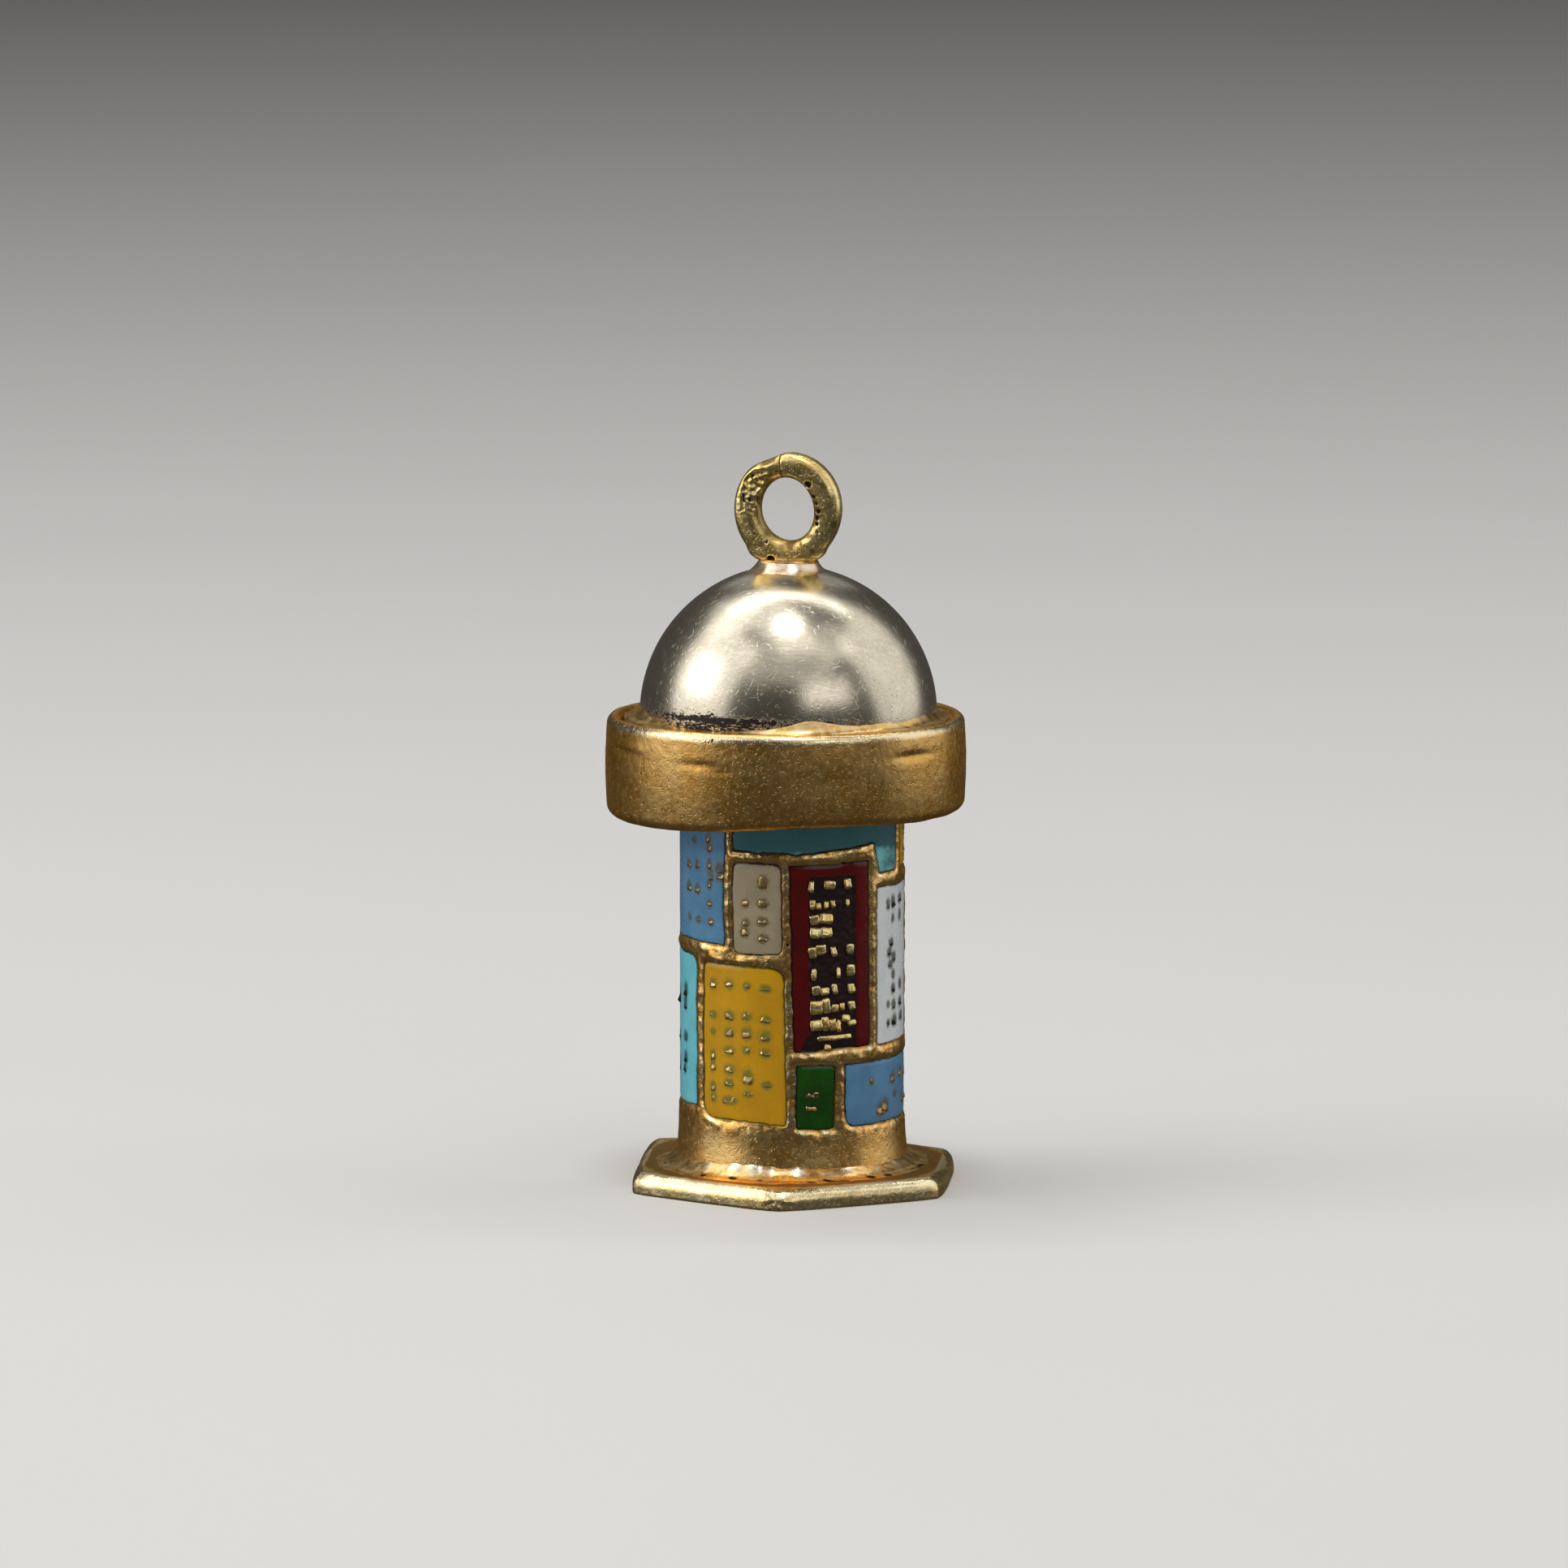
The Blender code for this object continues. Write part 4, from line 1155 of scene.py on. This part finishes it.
def eyelet_seat(charm):
    """The pad of pale solder under the eyelet, drawn up round it and run out on the dome."""
    axis = Axis("eyelet_seat")
    dome_radius = charm.dome.radius
    centre = charm.dome.high - dome_radius
    turns = bearings(160)[None, :]
    steps = np.linspace(0, 1, 40)[:, None]
    skirt = 1.24 + 0.07 * np.sin(np.radians(turns * 3 + 20)) + 0.05 * np.sin(np.radians(turns * 7))
    top = axis.high + 0.03
    neck = 0.83
    radius = skirt * (1 - steps)
    on_dome = centre + np.sqrt(dome_radius**2 - np.minimum(radius, 2.0) ** 2) - 0.012
    rise = np.clip((skirt - radius) / (skirt - neck), 0.0, 1.0) ** 2.6
    height = on_dome * (1 - rise) + top * rise
    groove = soft_step(radius, neck - 0.10, neck) * soft_step(radius, neck + 0.03, neck)
    height = height - 0.05 * groove
    upper = around(axis.x, radius, turns, height)
    upper[..., 2] += 0.012 * lumps(upper, 0.25)
    back = np.linspace(0, 1, 8)[1:, None]
    radius = skirt * back
    lower = around(axis.x, radius, turns, centre + np.sqrt(dome_radius**2 - radius**2) - 0.05)
    points = np.concatenate((upper[::-1], lower[::-1]))
    soil = 0.25 * soft_step(lumps(points[::-1], 0.3, 2.0), 0.1, 0.5)
    mesh = woven(points, soil=soil)
    merge_doubles(mesh)
    finished("eyelet_seat", mesh, charm.metal["pale solder"], ["eyelet_seat"])


# -- foot


def foot_plate(charm):
    """The six-sided plate: its edges worn round, its front corner bruised, a corner at
    the back lifted, with a vent hole underneath."""
    low, high = (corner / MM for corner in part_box("foot_plate"))
    thickness = high.z
    corner_radius = 5.28
    turn = -5.5
    vent = 0.45
    turns = bearings(540)[None, :]
    within = np.radians(np.abs(off_bearing((turns - turn) % 60, 30)))  # from a side's middle
    side = corner_radius * math.cos(math.radians(30)) / np.cos(within)
    softness = 26  # of the corners: a soft least of the side and a circle
    limit = corner_radius - 0.05
    edge_radius = (side**-softness + limit**-softness) ** (-1 / softness)
    ring = around(0, edge_radius, turns, thickness)
    edge_radius = edge_radius + 0.03 * lumps(ring, 1.6) + 0.012 * lumps(ring, 0.45, 5.0)
    rim = 0.45  # of the plate's edge, in mm
    top_round, low_round = 0.40, 0.05
    outline = section(0.0, 1.0, 0.0, thickness, (low_round, top_round, 0.0, 0.0), 0.035)
    outline = outline - (1.0, 0.0)  # from the edge inwards
    outline = outline[outline[:, 0] > -rim]
    order = np.argsort(np.arctan2(outline[:, 1] - thickness / 2, outline[:, 0] + rim))
    inset, height = outline[order, :1], outline[order, 1:]
    top_steps = np.linspace(1, 0, 60)[1:, None]
    low_steps = np.linspace(0, 1, 40)[:-1, None]
    floors = [(edge_radius - rim) * s + vent * (1 - s) for s in (top_steps, low_steps)]
    radius = np.concatenate((edge_radius + inset, *floors))
    levels = np.full_like(top_steps, thickness), np.zeros_like(low_steps)
    height = np.concatenate((height, *levels))
    points = around(0, radius, turns, height)
    share = height / thickness
    on_top = soft_step(share, 0.3, 1.0)
    dip = 0.014 * lumps(points, 0.9) + 0.006 * lumps(points, 0.3, 2.0)
    points[..., 2] += on_top * dip
    lift = soft_step(radius, 3.4, 5.2)
    points[..., 2] += 0.20 * lift * beside(turns, -123, 20)
    bruise = beside(turns, turn, 4.0) * soft_step(radius, 4.6, 5.1)
    points[..., 2] -= 0.06 * bruise * on_top
    points[..., 1] += 0.05 * bruise * (0.5 + lumps(points, 0.18, 3.0))
    near_front = beside(turns, -10, 11) * soft_step(radius, 4.3, 4.9)
    speck = soft_step(lumps(points, 0.09, 6.0), 0.22, 0.42) * near_front
    points[..., 2] -= 0.03 * speck * on_top
    # Darker over the plate's top inside about 4.5 mm, round the column's foot.
    inner = soft_step(radius, 4.75, 4.3) * on_top
    soil = inner + 0.9 * speck + 0.35 * soft_step(lumps(points, 0.5, 1.0), 0.25, 0.6)
    soil = soil + 0.4 * bruise
    # Painted highlight with rubbing: the bright rounded top edge.
    polish = 0.9 * on_top * soft_step(radius - edge_radius, -0.42, -0.22)
    charm.worn("foot_plate", "foot_plate", "foot plate gold", points, soil=soil, polish=polish)


BEADS = (  # in the foot's solder: place and width in degrees, and size
    (-44, 5.0, 0.5),
    (-29, 5.0, 1.0),
    (-18, 4.4, 0.9),
    (-10.5, 2.6, 0.6),
    (3, 4.6, 1.0),
    (27, 9.0, 0.4),
    (62, 5.0, 0.7),
    (118, 6.0, 0.8),
    (165, 4.0, 0.9),
    (214, 7.0, 0.6),
    (268, 4.0, 0.9),
)


def foot_solder(charm):
    """The solder at the column's foot: a beaded line against the column, with a painted
    highlight on its beads, and a thin skirt that ran out over the plate."""
    axis = charm.column
    plate_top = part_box("foot_plate")[1].z / MM
    turns = bearings(420)[None, :]
    steps = np.linspace(0, 1, 34)[:, None]
    ring = around(axis.x, 3.5, turns, 1.0)
    beads = 0.30 * lumps(ring, 0.62) + 0.12 * lumps(ring, 0.25, 4.0)
    for bearing, width, size in BEADS:
        beads = beads + size * beside(turns, bearing, width)
    inner = axis.radius - 0.06
    reach = 0.95 + 0.16 * lumps(ring, 1.3, 8.0) + 0.05 * lumps(ring, 0.35, 2.0)
    radius = inner + reach * steps
    bead = 0.29 + 0.06 * beads
    height = bead * np.exp(-((steps * reach / 0.34) ** 2.2)) + 0.06 * (1 - steps**3)
    height = plate_top + height * (1 + 0.25 * beside(turns, -22, 26)) - 0.03
    top = around(axis.x, radius, turns, height)[::-1]
    edges = np.concatenate((np.full_like(reach, inner), inner + reach))
    bottom = around(axis.x, edges, turns, plate_top - 0.05)
    points = np.concatenate((bottom[1:], top, bottom[:1]))
    out = np.concatenate((np.ones((1, 1)), steps[::-1], np.zeros((1, 1))))
    soil = 0.5 * bell(out - 0.62, 0.16) + 0.4 * soft_step(lumps(points, 0.35, 5.0), 0.15, 0.5)
    soil = soil * soft_step(out, 0.3, 0.6)
    # Painted highlight: a pale oval of shine on each bead, near the column.
    bead = soft_step(beads, 0.25, 0.75) * bell(out - 0.14, 0.17) * (out > 0)
    charm.worn("foot_solder", "foot_solder", "gold solder", points, soil=soil, bead=bead)


# ---------------------------------------------------------------------------
# Studio


def clear_startup():
    for obj in list(bpy.data.objects):
        bpy.data.objects.remove(obj)


def camera():
    """Looks along +Y, a little from above, with the whole charm in the middle half."""
    distance = 0.320
    frame_width = 0.0455  # across the picture, at the charm
    rise = math.radians(8.0)
    target = Vector((-0.00028, 0.0, 0.01169))
    data = bpy.data.cameras.new("camera")
    data.sensor_width = 36.0
    data.lens = data.sensor_width * distance / frame_width
    data.clip_start = 0.01
    data.clip_end = 10.0
    obj = linked("camera", data)
    obj.location = target + distance * Vector((0, -math.cos(rise), math.sin(rise)))
    obj.rotation_euler = (math.radians(90) - rise, 0, 0)
    bpy.context.scene.camera = obj


SOFTBOXES = (  # name, bearing and rise in degrees, distance, width and tallness in m, strength
    ("left box", -77, 28, 0.30, 0.32, 0.38, 3.5),
    ("left core", -80, 26, 0.28, 0.12, 0.11, 7.5),
    ("left shoulder", -118, 57, 0.30, 0.20, 0.16, 2.3),
    ("right shoulder", 58, 57, 0.32, 0.16, 0.15, 1.7),
    ("right box", 98, 26, 0.30, 0.30, 0.36, 2.7),
    ("low right panel", 32, 22, 0.30, 0.22, 0.10, 3.6),
    ("top lamp", 0, 79, 0.30, 0.045, 0.045, 60),
    ("top panel", -60, 81, 0.34, 0.44, 0.17, 2.4),
    ("top strip", 180, 69, 0.34, 0.38, 0.035, 14),
    ("front panel", 0, 48, 0.34, 0.42, 0.20, 1.3),
    ("rear fill", 180, 35, 0.50, 0.30, 0.20, 1.0),
)


def softbox(name, bearing, rise, distance, width, tallness, strength):
    """A lamp aimed at the charm's middle."""
    aim = Vector((0, 0, 0.012))
    turn, lift = math.radians(bearing), math.radians(rise)
    out = Vector((math.sin(turn) * math.cos(lift), -math.cos(turn) * math.cos(lift), math.sin(lift)))
    data = bpy.data.lights.new(name, "AREA")
    data.shape = "RECTANGLE"
    data.size = width
    data.size_y = tallness
    data.energy = strength * width * tallness
    lamp = linked(name, data)
    lamp.location = aim + out * distance
    lamp.rotation_euler = out.to_track_quat("Z", "Y").to_euler()


def studio(charm):
    """A pale floor, boxes at the sides, panels and a small lamp overhead."""
    bm = bmesh.new()
    bmesh.ops.create_grid(bm, x_segments=8, y_segments=8, size=2.0)
    mesh = bpy.data.meshes.new("floor")
    bm.to_mesh(mesh)
    bm.free()
    mesh.materials.append(studio_floor("floor paper"))
    floor = linked("floor", mesh)
    floor.visible_glossy = False
    for box in SOFTBOXES:
        softbox(*box)
    world = bpy.data.worlds.new("studio")
    bpy.context.scene.world = world
    world.use_nodes = True
    world.node_tree.nodes["Background"].inputs[0].default_value = (0.055, 0.053, 0.050, 1)
    bpy.context.scene.view_settings.view_transform = "Standard"


clear_startup()
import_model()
charm = Charm()
camera()
studio(charm)
foot_plate(charm)
foot_solder(charm)
posters(charm)
hoop(charm)
disc(charm)
dome(charm)
groove_solder(charm)
eyelet_seat(charm)
eyelet(charm)
